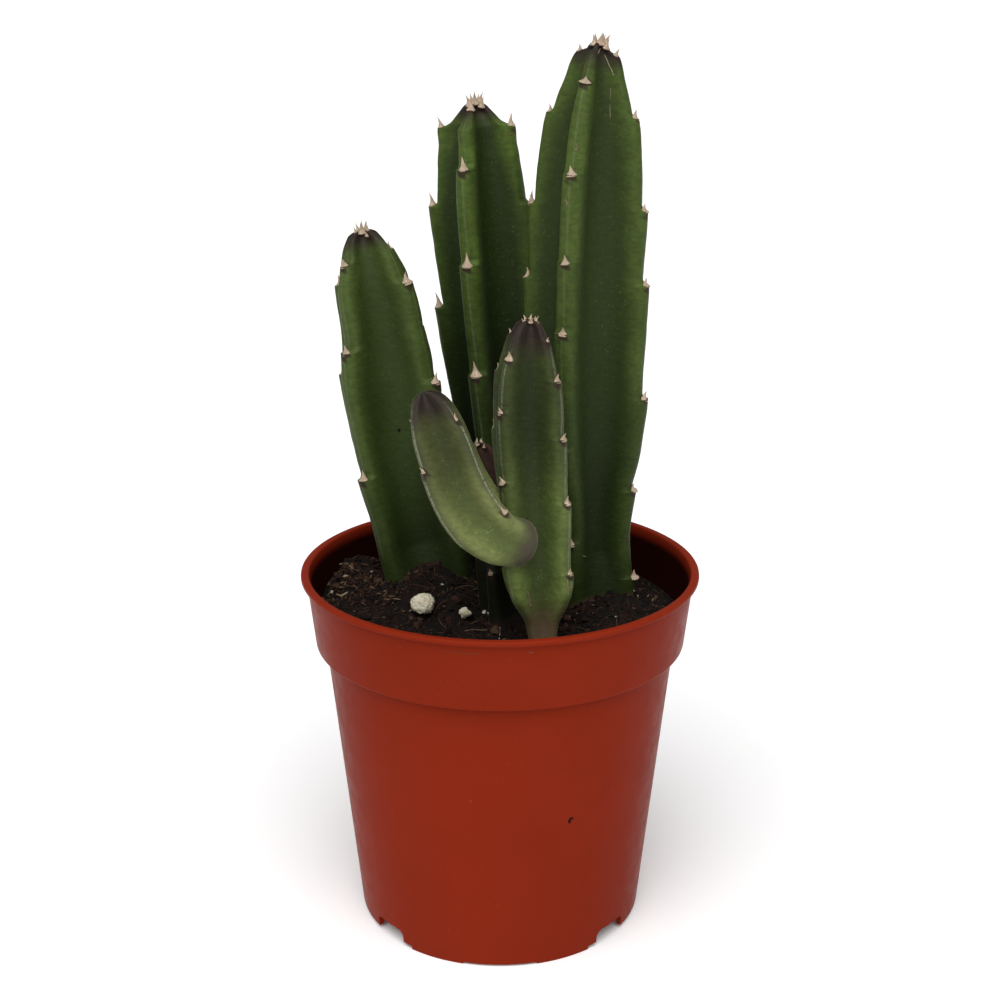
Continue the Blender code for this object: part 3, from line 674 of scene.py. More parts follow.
def peat_height(x, y):
    """The peat's height at a spot, with its mounds and pits and without its lumps."""
    share = np.minimum(1.0, np.hypot(x, y) / PEAT_RADIUS)
    height = PEAT_CENTRE_HEIGHT - PEAT_EDGE_DROP * share ** 4
    for centre_x, centre_y, width, depth, rise in MOUNDS:
        fall = ((x - centre_x) / width) ** 2 + ((y - centre_y) / depth) ** 2
        height = height + rise * np.exp(-MOUND_FALL * fall)
    return height


def make_peat():
    """The whole body of peat: a lumpy top, and the pot's inner wall and floor below it."""
    turns = np.array(circle(PEAT_STEPS))
    radii = PEAT_RADIUS * np.linspace(1, 0, PEAT_RINGS, endpoint=False)[::-1]
    x = radii[:, None] * np.cos(turns)
    y = radii[:, None] * np.sin(turns)
    z = peat_height(x, y)
    flat = np.stack((x, y, z), axis=-1).reshape(-1, 3)
    rise = np.zeros(len(flat))
    for k, (size, height) in enumerate(PEAT_LUMPS):
        rise += height * lumps(flat, size, k + 1)
    calm = np.clip((PEAT_RADIUS - radii) / CALM_WIDTH, CALM_LEAST, 1)
    flat[:, 2] += rise * np.repeat(calm, PEAT_STEPS)
    top = flat.reshape(PEAT_RINGS, PEAT_STEPS, 3)
    rings = list(top)
    for radius, height in PEAT_WALL:
        rings.append(np.stack((radius * np.cos(turns), radius * np.sin(turns),
                               np.full(PEAT_STEPS, height)), axis=-1))
    shape = Shape()
    middle = top[0].mean(axis=0)
    shape.add_loft(rings, middle, (0, 0, PEAT_WALL[-1][1]), 0.0)
    shape.values = list(np.concatenate((rise, np.zeros(len(shape.points) - len(rise)))))
    return new_piece("peat", shape.mesh("peat", "rise"), peat_material(), ("soil",))


# Corners of the twenty-sided solid that crumbs start from, and the reach from each to its next
GOLDEN = 1.618
CORNER_PAIRS = [(a, b) for a in (-1, 1) for b in (-GOLDEN, GOLDEN)]
SOLID_CORNERS = unit(np.array([(a, b, 0) for a, b in CORNER_PAIRS]
                              + [(0, a, b) for a, b in CORNER_PAIRS]
                              + [(b, 0, a) for a, b in CORNER_PAIRS]))
CORNER_REACH = 1.1


def solid_faces():
    """Faces of the twenty-sided solid over its corners."""
    near = [[j for j, other in enumerate(SOLID_CORNERS)
             if j != i and np.linalg.norm(corner - other) < CORNER_REACH]
            for i, corner in enumerate(SOLID_CORNERS)]
    return [(i, j, k) for i in range(len(near)) for j in near[i] for k in near[i]
            if i < j < k and k in near[j]]


SOLID_FACES = solid_faces()


def add_crumb(shape, draw, centre, size, stretch, tone, tilt=CRUMB_TILT):
    """An uneven little lump, turned and tilted at random, up to a tilt in radians."""
    turn = np.array(Matrix.Rotation(draw.uniform(0, 6.28), 3, "Z")
                    @ Matrix.Rotation(draw.uniform(-tilt, tilt), 3, "Y"))
    uneven = np.array([draw.uniform(0.7, 1.2) for _ in SOLID_CORNERS])[:, None]
    points = (SOLID_CORNERS * uneven * size * np.array(stretch)) @ turn.T + centre
    shape.add(points, SOLID_FACES, tone)


def outside_stems(place, stems):
    """True where a place lies outside every stem."""
    for tree in stems:
        found, normal, _, _ = tree.find_nearest(Vector(place) * MM)
        if found is not None and (Vector(place) * MM - found).dot(normal) < 0:
            return False
    return True


def peat_spot(draw, reach):
    """A spot drawn evenly over a disc."""
    radius = reach * sqrt(draw.random())
    angle = draw.uniform(0, 2 * pi)
    return radius * cos(angle), radius * sin(angle)


def drop(ground, x, y):
    """The place on the peat below a spot."""
    place = ground.ray_cast(Vector((x, y, 120)) * MM, Vector((0, 0, -1)))[0]
    return np.array(place) / MM


def make_crumbs(draw, ground, stems):
    """Crumbs all over the peat, chips on its left mound and the pale bits of the photograph."""
    shape = Shape()
    for _ in range(CRUMB_COUNT):
        place = drop(ground, *peat_spot(draw, PEAT_RADIUS - 1.0))
        size = min(CRUMB_LIMIT, CRUMB_SIZE * draw.paretovariate(CRUMB_POWER))
        stretch = (1.0, draw.uniform(0.55, 1.0), draw.uniform(0.45, 0.9))
        tone = draw.random() ** 2.4 * 0.46
        if outside_stems(place, stems):
            add_crumb(shape, draw, place + (0, 0, 0.25 * size), size, stretch, tone)
    for _ in range(CHIP_COUNT):
        spot = land(ground, (draw.uniform(*CHIP_ACROSS), draw.uniform(*CHIP_DOWN)))
        size = draw.uniform(*CHIP_SIZE)
        stretch = (1.0, draw.uniform(0.16, 0.4), draw.uniform(0.14, 0.3))
        tone = draw.uniform(0.1, 0.5)
        if spot:
            add_crumb(shape, draw, spot[0] + (0, 0, 0.3), size, stretch, tone, CHIP_TILT)
    for pixel, length, width, tone in PALE_BITS:
        spot = land(ground, pixel)
        if spot:
            stretch = (1.0, width / length, 0.55 * width / length)
            add_crumb(shape, draw, spot[0] + spot[1] * 0.2, length * 0.55, stretch, tone)
    new_piece("peat_crumbs", shape.mesh("peat_crumbs", "tone"), crumb_material(), ("soil",),
              smooth=False)


def make_fibres(draw, ground, stems):
    """Fibres strewn over the peat, and the pale roots of the photograph."""
    shape = Shape()
    steps = len(FIBRE_TAPER) - 1
    for _ in range(FIBRE_COUNT):
        x, y = peat_spot(draw, PEAT_RADIUS - 3.0)
        way = draw.uniform(0, 2 * pi)
        length = draw.uniform(*FIBRE_LENGTH)
        bend = draw.uniform(*FIBRE_BEND)
        lift = draw.uniform(*FIBRE_LIFT)
        path = []
        for k in range(steps + 1):
            x += cos(way) * length / steps
            y += sin(way) * length / steps
            way += bend
            share = min(1.0, (PEAT_RADIUS - 1.2) / max(1e-6, hypot(x, y)))
            raised = (0, 0, lift * sin(pi * k / steps))
            path.append(drop(ground, x * share, y * share) + raised)
        thick = draw.uniform(*FIBRE_THICK)
        tone = draw.uniform(0.1, 0.46)
        if all(outside_stems(place, stems) for place in path):
            tube(shape, path, [thick * w for w in FIBRE_TAPER], 4, tone)
    for pixels, thick, tone in ROOTS:
        path = smooth_line(landed(ground, pixels), 5) + np.array((0, -0.15, 0.25))
        tube(shape, path, thick * tapered(len(path), 0.4), 6, tone)
    new_piece("peat_fibres", shape.mesh("peat_fibres", "tone"), crumb_material(),
              ("soil",))


def make_marks(trees):
    """Scratches, scars and specks on whichever surface the camera sees."""
    shape = Shape()
    for pixels, thick, tone in MARKS:
        spots = []
        for pixel in pixels:
            found = [spot for spot in (land(tree, pixel) for tree in trees) if spot]
            spots.append(min(found, key=lambda spot: np.linalg.norm(spot[0] - CAMERA_PLACE)))
        path = smooth_line([place + normal * 0.2 * thick for place, normal in spots], 6)
        tube(shape, path, thick * tapered(len(path), 0.3), 6, tone)
    new_piece("marks", shape.mesh("marks", "tone"), crumb_material())


def make_perlite(name, centre, across):
    """A puffed grain: a ball pushed about by noise of several sizes."""
    middle = Vector(centre)

    def rough(way, fineness):
        return noise.noise(way * fineness + middle)

    shape = bmesh.new()
    bmesh.ops.create_icosphere(shape, subdivisions=5, radius=1.0)
    for point in shape.verts:
        way = point.co.normalized()
        swell = 1.0 + GRAIN_BROAD[0] / across * rough(way, GRAIN_BROAD[1])
        swell += GRAIN_LUMPS[0] * rough(way, GRAIN_LUMPS[1])
        swell -= GRAIN_PITS[0] * abs(rough(way, GRAIN_PITS[1]))
        place = way * swell * across * 0.50
        point.co = (Vector((place.x, place.y, place.z * GRAIN_FLAT)) + middle) * MM
    mesh = bpy.data.meshes.new(name)
    shape.to_mesh(mesh)
    shape.free()
    return new_piece(name + "_grain", mesh, perlite_material(), (name,))


# Stems and teeth

class Stem:
    """One stem's curves: places, directions and rib radii by distance down from the tip."""

    def __init__(self, table, buried):
        places = np.array(table["path"][::-1], float)
        steps = np.linalg.norm(np.diff(places, axis=0), axis=1)
        downs = np.concatenate(([0.0], np.cumsum(steps)))
        self.path = Through(list(zip(downs, places)))
        self.length = downs[-1]
        self.crest = Through(table["crest"])
        self.teeth = table["teeth"]
        self.turn = table["turn"]
        self.swell = table["swell"]
        self.young = table["young"] * table["tooth"]
        self.tooth = table["tooth"]
        self.spike = table["spike"]
        self.buried = buried
        self.stub = table.get("stub")

    def frames(self, down):
        """Place, up, front and side at distances down, which may pass the soil line."""
        down = np.atleast_1d(np.asarray(down, float))
        inside = np.clip(down, TANGENT_REACH, self.length - TANGENT_REACH)
        up = unit(self.path(inside - TANGENT_REACH) - self.path(inside + TANGENT_REACH))
        front = np.array([0.0, -1.0, 0.0])
        front = unit(front - up * (up @ front)[:, None])
        side = np.cross(up, front)
        place = self.path(down) - up * np.maximum(down - self.length, 0.0)[:, None]
        return place, up, front, side

    def rib_angle(self, down, rib):
        share = np.clip(np.asarray(down, float) / self.length, 0, 1)
        turn = self.turn[0] + (self.turn[1] - self.turn[0]) * share
        return np.radians(turn) + 2 * pi / RIBS * rib

    def reach(self, down):
        """A rib's full reach, drawn in to a blunt end over the tip."""
        down = np.asarray(down, float)
        tip = np.clip(down / TIP_ZONE, 0, 1)
        return self.crest(down) * np.sqrt(np.maximum(1 - (1 - tip) ** 2, TIP_LEAST))

    def cut(self, down, pair):
        """How far a pair's crests stand back: more and more below a shelf, to the next one."""
        down = np.asarray(down, float)
        levels = np.array(self.teeth[pair], float)
        i = np.searchsorted(levels, down, side="left")
        last = i >= len(levels)
        above = np.where(i > 0, levels[np.maximum(i - 1, 0)], 0.0)
        below = np.where(last, above + LAST_GAP, levels[np.minimum(i, len(levels) - 1)])
        step = np.minimum(STEP_LENGTH, STEP_SHARE * (below - above))
        along = np.clip((down - above) / np.maximum(below - step - above, 0.01), 0, 1)
        scoop = np.clip((down - (below - step)) / step, 0, 1)
        hollow = np.maximum(1 - scoop ** STEP_SQUARE, 0) ** (1 / STEP_SQUARE)
        fall = np.where(down > below - step, hollow, along)
        return self.swell * np.minimum(1.0, self.crest(down) / FULL_CREST) * fall

    def levels(self):
        """Distances down of all rings: even ones, and close ones at each shelf."""
        end = self.length + (BURIED if self.buried else 0.0)
        found = [*FIRST_RINGS, *np.arange(EVEN_FROM, end, RING_GAP), end]
        shelves = [level for pair in self.teeth for level in pair]
        for level in shelves:
            found += list(np.arange(level - SHELF_ABOVE, level + SHELF_BELOW, SHELF_GAP))
            found += [level - SHELF_EDGE, level, level + SHELF_EDGE]
        found = sorted(level for level in found if LEAST_GAP < level <= end)
        kept = [found[0]]
        for level in found[1:]:
            if level - kept[-1] > LEAST_GAP:
                kept.append(level)
        return np.array(kept)


def half_section(stops, reach, cut, valley):
    """Points from a rib's crest to the groove: distance along the rib and across it.

    The crest stands back by the cut, and the flanks share it less and less towards the groove.
    The third result is how far each point lies from the crest before the cut.
    """
    stops, reach, cut = stops[None, :], reach[:, None], cut[:, None]
    nose = np.minimum(CREST_LIMIT, CREST_SHARE * reach + CREST_LEAST)
    turn = NOSE_TURN * np.minimum(1.0, stops / NOSE_SHARE)
    half = pi / RIBS
    start = np.stack((reach - nose + nose * cos(NOSE_TURN), nose * sin(NOSE_TURN)))
    end = np.stack((valley[:, None] * cos(half), valley[:, None] * sin(half)))
    length = np.hypot(*(end - start))
    leave = start + np.stack((-sin(NOSE_TURN) * FLANK_PULL * length,
                              cos(NOSE_TURN) * FLANK_PULL * length))
    meet = end + np.stack((sin(half) * GROOVE_PULL * length, -cos(half) * GROOVE_PULL * length))
    t = np.clip((stops - NOSE_SHARE) / (1 - NOSE_SHARE), 0, 1)
    flank = ((1 - t) ** 3 * start + 3 * t * (1 - t) ** 2 * leave + 3 * t * t * (1 - t) * meet
             + t ** 3 * end)
    round_nose = np.stack((reach - nose + nose * np.cos(turn), nose * np.sin(turn)))
    x, y = np.where(stops > NOSE_SHARE, flank, round_nose)
    zone = np.minimum(SHELF_ZONE, SHELF_SHARE * reach)
    share = np.clip((x - (reach - zone)) / zone, 0, 1)
    return x - cut * share ** SHELF_FADE, y, np.hypot(reach - x, y)


def section_stops():
    nose = np.linspace(0, NOSE_SHARE, NOSE_STOPS, endpoint=False)
    return np.concatenate((nose, np.linspace(NOSE_SHARE, 1, FLANK_STOPS)))


def stem_points(stem, downs):
    """Rings of points, and how far each is from the crest of its rib."""
    place, _, front, side = stem.frames(downs)
    reach = stem.reach(downs)
    valley = (VALLEY_SHARE - TIP_FOLD * np.exp(-downs / TIP_FOLD_REACH)) * reach
    share = np.clip(1 - (stem.length - downs) / ROUND_ZONE, 0, 1)
    mix = (share * (SOIL_LINE_ROUND if stem.buried else 1.0))[:, None]
    stops = section_stops()
    quarter = 2 * pi / RIBS
    points, far = [], []
    for rib in range(RIBS):
        for hand in (1, -1):
            owner = rib if hand == 1 else rib + 1
            used = stops if hand == 1 else stops[1:-1][::-1]
            x, y, away = half_section(used, reach, stem.cut(downs, owner % 2), valley)
            far.append(away + FAR_ROUND * mix)
            round_x = ROUND_SHARE * reach[:, None] * np.cos(quarter / 2 * used)
            round_y = ROUND_SHARE * reach[:, None] * np.sin(quarter / 2 * used)
            x = x * (1 - mix) + round_x * mix
            y = y * (1 - mix) + round_y * mix
            base = stem.rib_angle(downs, owner)[:, None]
            ahead = np.cos(base) * x - np.sin(base) * y * hand
            aside = np.sin(base) * x + np.cos(base) * y * hand
            points.append(place[:, None, :] + front[:, None, :] * ahead[..., None]
                          + side[:, None, :] * aside[..., None])
    return np.concatenate(points, axis=1), np.concatenate(far, axis=1)


def tooth_places(stem):
    """Place, up, out, size and share of full height of every tooth, and of the tip's crown."""
    marks = [(level, pair, stem.tooth if level > YOUNG_ZONE else YOUNG_TOOTH * stem.young)
             for pair, levels in enumerate(stem.teeth) for level in levels]
    found = []
    for level, pair, size in marks:
        place, up, front, side = (a[0] for a in stem.frames(level))
        radius = float(stem.reach(level) - stem.cut(level, pair))
        height = STUB if level == stem.stub else stem.spike
        for rib in (pair, pair + 2):
            angle = float(stem.rib_angle(level, rib))
            out = front * cos(angle) + side * sin(angle)
            found.append((place + out * radius, up, out, size, height))
    place, up, front, side = (a[0] for a in stem.frames(0.0))
    size = CROWN_TOOTH * stem.young
    for radius, level, turn in CROWN if stem.buried else ():
        out = front * cos(turn) + side * sin(turn)
        root = place - up * level + out * (radius + TOOTH_INSET * size)
        found.append((root, up, out, size, 1.0))
    return found


def make_stem(name, table, replaced, buried=True):
    """A stem's skin and its teeth. Returns the skin's tree of faces."""
    stem = Stem(table, buried)
    downs = stem.levels()
    rows, far = stem_points(stem, downs)
    place, up, _, _ = stem.frames(np.array([0.0, downs[-1]]))
    low_end = place[1] - up[1] * 0.2
    if not buried:
        dome = [place[1] + (rows[-1] - place[1]) * share - up[1] * depth for depth, share in DOME]
        rows = np.concatenate((rows, np.array(dome)))
        far = np.concatenate((far, np.full((len(DOME), far.shape[1]), FAR_OFF)))
        downs = np.concatenate((downs, downs[-1] + np.array([depth for depth, _ in DOME])))
        low_end = place[1] - up[1] * DOME_END
    flat = rows.reshape(-1, 3)
    outwards = unit(flat - np.repeat(rows.mean(axis=1), rows.shape[1], axis=0))
    bumps = sum(height * lumps(flat, size, len(name) + size) for size, height in WOBBLES)
    flat = flat + outwards * bumps[:, None]
    shape = Shape()
    ends = [place[0] + up[0] * 0.06, low_end]
    shape.add_loft(flat.reshape(rows.shape).tolist(), *ends, 0)
    mesh = shape.mesh(name)
    teeth = tooth_places(stem)
    down = np.repeat(downs, rows.shape[1])
    for key, values, at_ends in (("spot", tooth_spots(teeth, flat), (0, 0)),
                                 ("far", far.ravel(), (FAR_OFF, FAR_OFF)),
                                 ("down", down, (0, downs[-1])),
                                 ("rise", stem.length - down, (stem.length, 0))):
        put_attribute(mesh, key, np.concatenate((values, at_ends)))
    skin = new_piece(name + "_skin", mesh, skin_material(name), replaced)
    make_teeth(name + "_teeth", teeth, replaced)
    return tree_of(skin)


def tooth_spots(teeth, points):
    """How near points lie to a tooth's foot, from 0 to 1, in patches with uneven edges."""
    spot = np.zeros(len(points))
    uneven = 1.0 + 0.35 * np.sin(points[:, 2] * 3.1 + points[:, 0] * 2.3)
    for root, up, _, size, _ in teeth:
        away = np.linalg.norm(points - (root - up * 0.2), axis=1)
        spot = np.maximum(spot, np.exp(-(away / ((0.9 * size + 0.6) * uneven)) ** 2))
    return spot


def make_teeth(name, teeth, replaced):
    """Teeth with a broad pad on the shelf, drawn up with hollow sides to a sharp point."""
    draw = random.Random(name)
    shape = Shape()
    for root, up, out, size, height in teeth:
        lean = TOOTH_LEAN + SMALL_LEAN * max(0.0, 1 - size) + draw.uniform(*LEAN_SPREAD)
        size = size * draw.uniform(*SIZE_SPREAD)
        tilt = draw.uniform(*TILT_SPREAD)
        aside = np.cross(up, out)
        direction = unit(up * cos(lean) + out * sin(lean) + aside * tilt)
        across = unit(np.cross(direction, out))
        outer = np.cross(across, direction)
        foot = root - (out * TOOTH_INSET + up * TOOTH_SUNK) * size * min(1.0, LOW_INSET * height)
        width = TOOTH_WIDTH * draw.uniform(*GIRTH_SPREAD)
        depth = TOOTH_DEPTH * draw.uniform(*GIRTH_SPREAD)
        rings = []
        for t, share in TOOTH_OUTLINE:
            centre = foot + direction * TOOTH_HEIGHT * height * size * t
            centre = centre - outer * TOOTH_BOW * size * sin(pi * t)
            rings.append([centre + size * share * (across * width * sin(a)
                                                   + outer * depth * cos(a))
                          for a in circle(TOOTH_SIDES)])
        heights = [t for t, _ in TOOTH_OUTLINE] + [0.0, 1.0]
        point = foot + direction * TOOTH_HEIGHT * height * size
        shape.add_loft(rings, foot - direction * 0.05, point, heights)
    new_piece(name, shape.mesh(name, "tooth"), tooth_material(), replaced)


# Materials

class Nodes:
    """Short hand for a material's node tree. A value is a number, a colour or a socket."""

    def __init__(self, name):
        self.material = bpy.data.materials.new(name)
        self.material.use_nodes = True
        self.tree = self.material.node_tree
        self.shader = self.tree.nodes["Principled BSDF"]

    def feed(self, socket, value):
        if isinstance(value, bpy.types.NodeSocket):
            self.tree.links.new(value, socket)
        elif socket.type == "RGBA" and len(value) == 3:
            socket.default_value = (*value, 1.0)
        else:
            socket.default_value = value

    def node(self, kind, inputs, **settings):
        """The outputs of a new node, whose inputs are fed by name or number."""
        node = self.tree.nodes.new("ShaderNode" + kind)
        for key, value in settings.items():
            setattr(node, key, value)
        for key, value in inputs.items():
            self.feed(node.inputs[key], value)
        return node.outputs

    def place(self, stretch=(1, 1, 1)):
        where = self.node("NewGeometry", {})["Position"]
        return self.node("Mapping", {"Scale": stretch, "Vector": where})["Vector"]

    def axes(self):
        return self.node("SeparateXYZ", {"Vector": self.place()}).values()

    def attribute(self, name):
        return self.node("Attribute", {}, attribute_name=name)["Fac"]

    def noise(self, size, detail=3.0, stretch=(1, 1, 1), warp=0.0):
        """Noise from 0 to 1 in lumps of a size in millimetres."""
        inputs = {"Scale": 1 / (size * MM), "Detail": detail, "Roughness": NOISE_ROUGHNESS,
                  "Distortion": warp, "Vector": self.place(stretch)}
        return self.node("TexNoise", inputs)["Fac"]

    def math(self, kind, a, b=0.0):
        return self.node("Math", {0: a, 1: b}, operation=kind)["Value"]

    def times(self, a, b):
        return self.math("MULTIPLY", a, b)

    def uneven(self, name, size, amount):
        """An attribute with noise of a size added, which gives its steps ragged edges."""
        return self.math("ADD", self.attribute(name), self.times(self.noise(size), amount))

    def step(self, value, low, high, start=0.0, end=1.0):
        """A smooth step of a value from start, at low, to end, at high."""
        inputs = {"Value": value, "From Min": low, "From Max": high, "To Min": start,
                  "To Max": end}
        return self.node("MapRange", inputs, interpolation_type="SMOOTHSTEP")["Result"]

    def mix(self, share, a, b):
        return self.node("Mix", {0: share, 6: a, 7: b}, data_type="RGBA")[2]

    def paint(self, under, over, value, *steps):
        """One colour painted over another by a smooth step of a value."""
        return self.mix(self.step(value, *steps), under, over)

    def scaled(self, colour, level):
        return self.node("VectorMath", {0: colour, "Scale": level}, operation="SCALE")["Vector"]

    def bump(self, height, distance, strength):
        """A bump of a distance in millimetres over any bump already there."""
        normal = self.shader.inputs["Normal"]
        inputs = {"Strength": strength, "Distance": distance * MM, "Height": height}
        if normal.links:
            inputs["Normal"] = normal.links[0].from_socket
        self.feed(normal, self.node("Bump", inputs)["Normal"])

    def set(self, **values):
        """Feeds the shader's inputs, named with _ for each space, and gives the material."""
        for key, value in values.items():
            self.feed(self.shader.inputs[key.replace("_", " ")], value)
        return self.material


def shade(colour, share):
    return tuple(part * share for part in colour)


def skin_material(name):
    """Fleshy skin: brighter on the ribs, mottled, dark tip, tan foot; painted light and shade."""
    look = LOOKS[name]
    dark, bright, flush, foot = (look[key] for key in ("dark", "bright", "flush", "foot"))
    n = Nodes(name + " skin")
    speckle = n.noise(0.5, 2.0)
    grain = n.noise(1.6, stretch=(1, 1, 2.0))
    # Paler near the crests and darker near the grooves: partly the ribs' own paler green, partly
    # painted light on the thin ribs and painted shade in the grooves
    colour = n.paint(dark, bright, n.uneven("far", 3.5, 2.4), 2.4, 7.4, 1.0, 0.0)
    colour = n.paint(colour, dark, n.noise(9.0), 0.38, 0.66, 0.38, 0.0)
    colour = n.paint(colour, shade(bright, 1.7), speckle, 0.6, 0.74, 0.0, 0.3)
    colour = n.paint(colour, shade(dark, 0.6), grain, 0.4, 0.58, 0.25, 0.0)
    # Painted shade and light by height: darker low down where the stems shade one another, and
    # brighter low down but darker high up on the front stem and the branch
    colour = n.scaled(colour, n.step(n.attribute("rise"), 0.4 * look["middle"],
                                     1.6 * look["middle"], look["low"], look["high"]))
    # Painted shade: a grey band beside each crest, on the front stem and the branch
    colour = n.paint(colour, CREST_SHADE_COLOUR, n.uneven("far", 3.0, 1.2), 0.6, 2.6,
                     look.get("crest_shade", 0.0), 0.0)
    # Painted sheen: a pale line along each crest, where the downy skin catches light at grazing
    # angles
    line = n.step(n.attribute("far"), 0.05, 0.4, look["crest_sheen"], 0.0)
    colour = n.mix(n.times(line, n.step(speckle, 0.3, 0.55)), colour, CREST_SHEEN_COLOUR)
    colour = n.paint(colour, look.get("tip", FLUSH_COLOUR), n.uneven("down", 2.6, flush * 0.6),
                     flush * 0.6, flush * 1.5, 0.92, 0.0)
    colour = n.paint(colour, look.get("tan", FOOT_COLOUR), n.uneven("rise", 2.8, 2.5),
                     foot * 0.4, foot * 1.1 + 1.5, 0.9, 0.0)
    colour = n.paint(colour, SPOT_COLOUR, n.attribute("spot"), 0.2, 0.7, 0.0, 0.85)
    n.bump(grain, 0.14, 0.6)
    n.bump(speckle, 0.05, 0.8)
    n.bump(n.noise(5.0, 2.0, stretch=(0.25, 0.25, 4.0)), 0.12, 0.6)
    return n.set(Base_Color=colour, Roughness=n.step(speckle, 0.3, 0.7, 0.5, 0.64),
                 Specular_IOR_Level=0.14, Sheen_Weight=look["sheen"], Sheen_Roughness=0.35,
                 Sheen_Tint=(0.7, 0.78, 0.5, 1.0), Subsurface_Weight=0.05,
                 Subsurface_Scale=1.0 * MM)


@functools.cache
def tooth_material():
    """Dry tan and pinkish horn, streaked, and brown at the foot."""
    n = Nodes("teeth")
    streak = n.noise(0.4, 2.0, stretch=(1, 1, 0.25))
    colour = n.paint(HORN_TAN, HORN_PINK, n.noise(4.5, 2.0), 0.35, 0.65)
    colour = n.paint(colour, HORN_STREAK, streak, 0.4, 0.62, 0.5, 0.0)
    colour = n.paint(colour, HORN_FOOT, n.attribute("tooth"), 0.02, 0.16, 0.7, 0.0)
    n.bump(streak, 0.08, 0.8)
    return n.set(Base_Color=colour, Roughness=0.62, Specular_IOR_Level=0.3)


def pot_material():
    """Moulded terracotta-coloured plastic: satin, faintly scratched, with painted shade inside."""
    n = Nodes("pot plastic")
    x, y, z = n.axes()
    radius = n.math("SQRT", n.math("ADD", n.times(x, x), n.times(y, y)))
    wall = n.math("SUBTRACT", radius, n.times(z, COLLAR_SLOPE))
    inside = n.step(wall, INNER_WALL - WALL_EDGE, INNER_WALL + WALL_EDGE, 1.0, 0.0)
    reach = n.times(n.step(z, *INSIDE_SHADE_FROM), n.step(z, *INSIDE_SHADE_TO, 1.0, 0.0))
    scratch = n.noise(1.2, stretch=(1, 1, 9.0), warp=0.6)
    colour = n.paint(POT_RED, shade(POT_RED, 0.9), n.noise(40.0), 0.3, 0.7)
    colour = n.paint(colour, POT_DUST, n.noise(0.7, 2.0), 0.68, 0.8, 0.0, 0.22)
    # Painted shade: inside the collar's wall, above the peat, the colour is darkened nearly to
    # black
    colour = n.mix(n.times(n.times(inside, reach), 0.95), colour, POT_INSIDE_SHADE)
    n.bump(n.noise(0.45, 2.0), 0.01, 0.8)
    n.bump(n.step(scratch, 0.62, 0.7), 0.02, 0.5)
    return n.set(Base_Color=colour, Roughness=n.step(n.noise(3.5, 4.0), 0.3, 0.7, 0.3, 0.42),
                 Specular_IOR_Level=0.02)


def peat_material():
    """Wet black peat, browner in patches and rusty in some, with painted shade in its hollows."""
    n = Nodes("peat")
    colour = n.paint(PEAT_BLACK, PEAT_BROWN, n.noise(1.3, 4.0), 0.35, 0.65)
    colour = n.paint(colour, PEAT_RUST, n.noise(4.0, 2.0), 0.56, 0.7, 0.0, 0.7)
    # Painted shade: the peat is darkened to near black in the hollows between its lumps
    colour = n.paint(colour, PEAT_HOLLOW_SHADE, n.attribute("rise"), -0.9, 0.1, 0.8, 0.0)
    n.bump(n.noise(0.6, 4.0), 0.35, 1.0)
    return n.set(Base_Color=colour, Roughness=0.95, Specular_IOR_Level=0.15)


@functools.cache
def crumb_material():
    """Peat crumbs, bark and roots, each in the colour of its tone, with dark grit."""
    n = Nodes("crumbs")
    ramp = n.tree.nodes.new("ShaderNodeValToRGB")
    n.feed(ramp.inputs["Fac"], n.attribute("tone"))
    while len(ramp.color_ramp.elements) < len(TONES):
        ramp.color_ramp.elements.new(0.5)
    for element, (tone, colour) in zip(ramp.color_ramp.elements, TONES):
        element.position = tone
        element.color = (*colour, 1.0)
    grit = n.noise(0.35)
    colour = n.paint(ramp.outputs["Color"], CRUMB_GRIT, grit, 0.35, 0.6, 0.45, 0.0)
    n.bump(grit, 0.15, 0.9)
    return n.set(Base_Color=colour, Roughness=0.92, Specular_IOR_Level=0.15)


@functools.cache
def perlite_material():
    n = Nodes("perlite")
    pits = n.noise(0.35)
    colour = n.paint(PERLITE_CREAM, PERLITE_PALE, n.noise(1.1), 0.35, 0.65)
    # Painted shade: the grain's pits, sunk by the bump below, are darkened
    colour = n.paint(colour, PERLITE_PIT_SHADE, pits, 0.34, 0.46, 0.6, 0.0)
    n.bump(pits, 0.2, 0.9)
    return n.set(Base_Color=colour, Roughness=0.9, Specular_IOR_Level=0.2)


# Stage

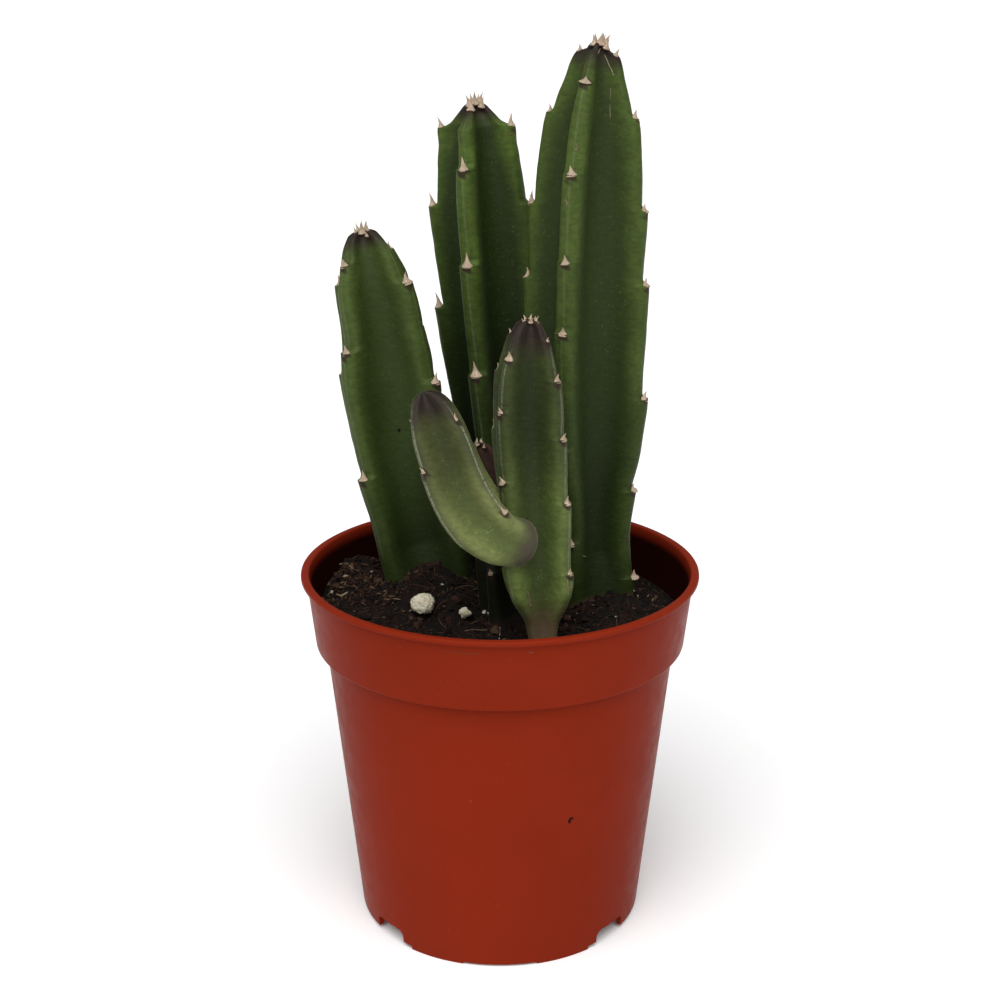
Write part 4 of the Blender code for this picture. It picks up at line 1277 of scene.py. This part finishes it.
def make_world():
    """White to the camera's eye, and a soft grey fill for the lighting."""
    world = bpy.data.worlds.new("studio")
    world.use_nodes = True
    tree = world.node_tree
    back = tree.nodes["Background"]
    back.inputs["Color"].default_value = (1, 1, 1, 1)
    seen = tree.nodes.new("ShaderNodeLightPath").outputs["Is Camera Ray"]
    level = tree.nodes.new("ShaderNodeMapRange")
    level.inputs["To Min"].default_value = WORLD_FILL
    level.inputs["To Max"].default_value = 1.0
    tree.links.new(seen, level.inputs["Value"])
    tree.links.new(level.outputs["Result"], back.inputs["Strength"])
    bpy.context.scene.world = world


def sun(name, azimuth, height, strength, softness):
    """A broad soft light from a direction: degrees round from the front, and above the floor."""
    data = bpy.data.lights.new(name, "SUN")
    data.energy = strength
    data.angle = radians(softness)
    light = link(bpy.data.objects.new(name, data))
    light.rotation_euler = (radians(90 - height), 0, radians(azimuth))


def make_stage():
    """A white floor, metres wide, under a sun from the front and a weak one from the right."""
    corners = [(x * FLOOR_HALF, y * FLOOR_HALF, 0) for x, y in ((-1, -1), (1, -1), (1, 1), (-1, 1))]
    mesh = bpy.data.meshes.new("floor")
    mesh.from_pydata(corners, [], [(0, 1, 2, 3)])
    floor = link(bpy.data.objects.new("floor", mesh))
    n = Nodes("floor")
    mesh.materials.append(n.set(Base_Color=(0.97, 0.97, 0.97), Roughness=0.9,
                                Specular_IOR_Level=0.1))
    make_world()
    sun("key", azimuth=-8, height=57, strength=3.35, softness=62)
    sun("right", azimuth=60, height=40, strength=0.12, softness=50)


def make_camera():
    data = bpy.data.cameras.new("camera")
    data.sensor_width = SENSOR_WIDTH
    data.lens = CAMERA_LENS
    camera = link(bpy.data.objects.new("camera", data))
    camera.location = Vector(CAMERA_PLACE) * MM
    camera.rotation_euler = (CAMERA_TILT, 0, 0)
    bpy.context.scene.camera = camera


def main():
    make_camera()
    make_stage()
    bpy.context.scene.view_settings.view_transform = "Standard"
    pot = make_pot()
    stems = [make_stem(name, table, (name,)) for name, table in STEMS.items()]
    stems.append(make_stem("branch", BRANCH, (BRANCH_OF,), buried=False))
    ground = tree_of(make_peat())
    draw = random.Random(LITTER_SEED)
    make_crumbs(draw, ground, stems)
    make_fibres(draw, ground, stems)
    for name, (centre, across) in PERLITE.items():
        make_perlite(name, centre, across)
    make_marks(stems + [tree_of(pot)])


main()
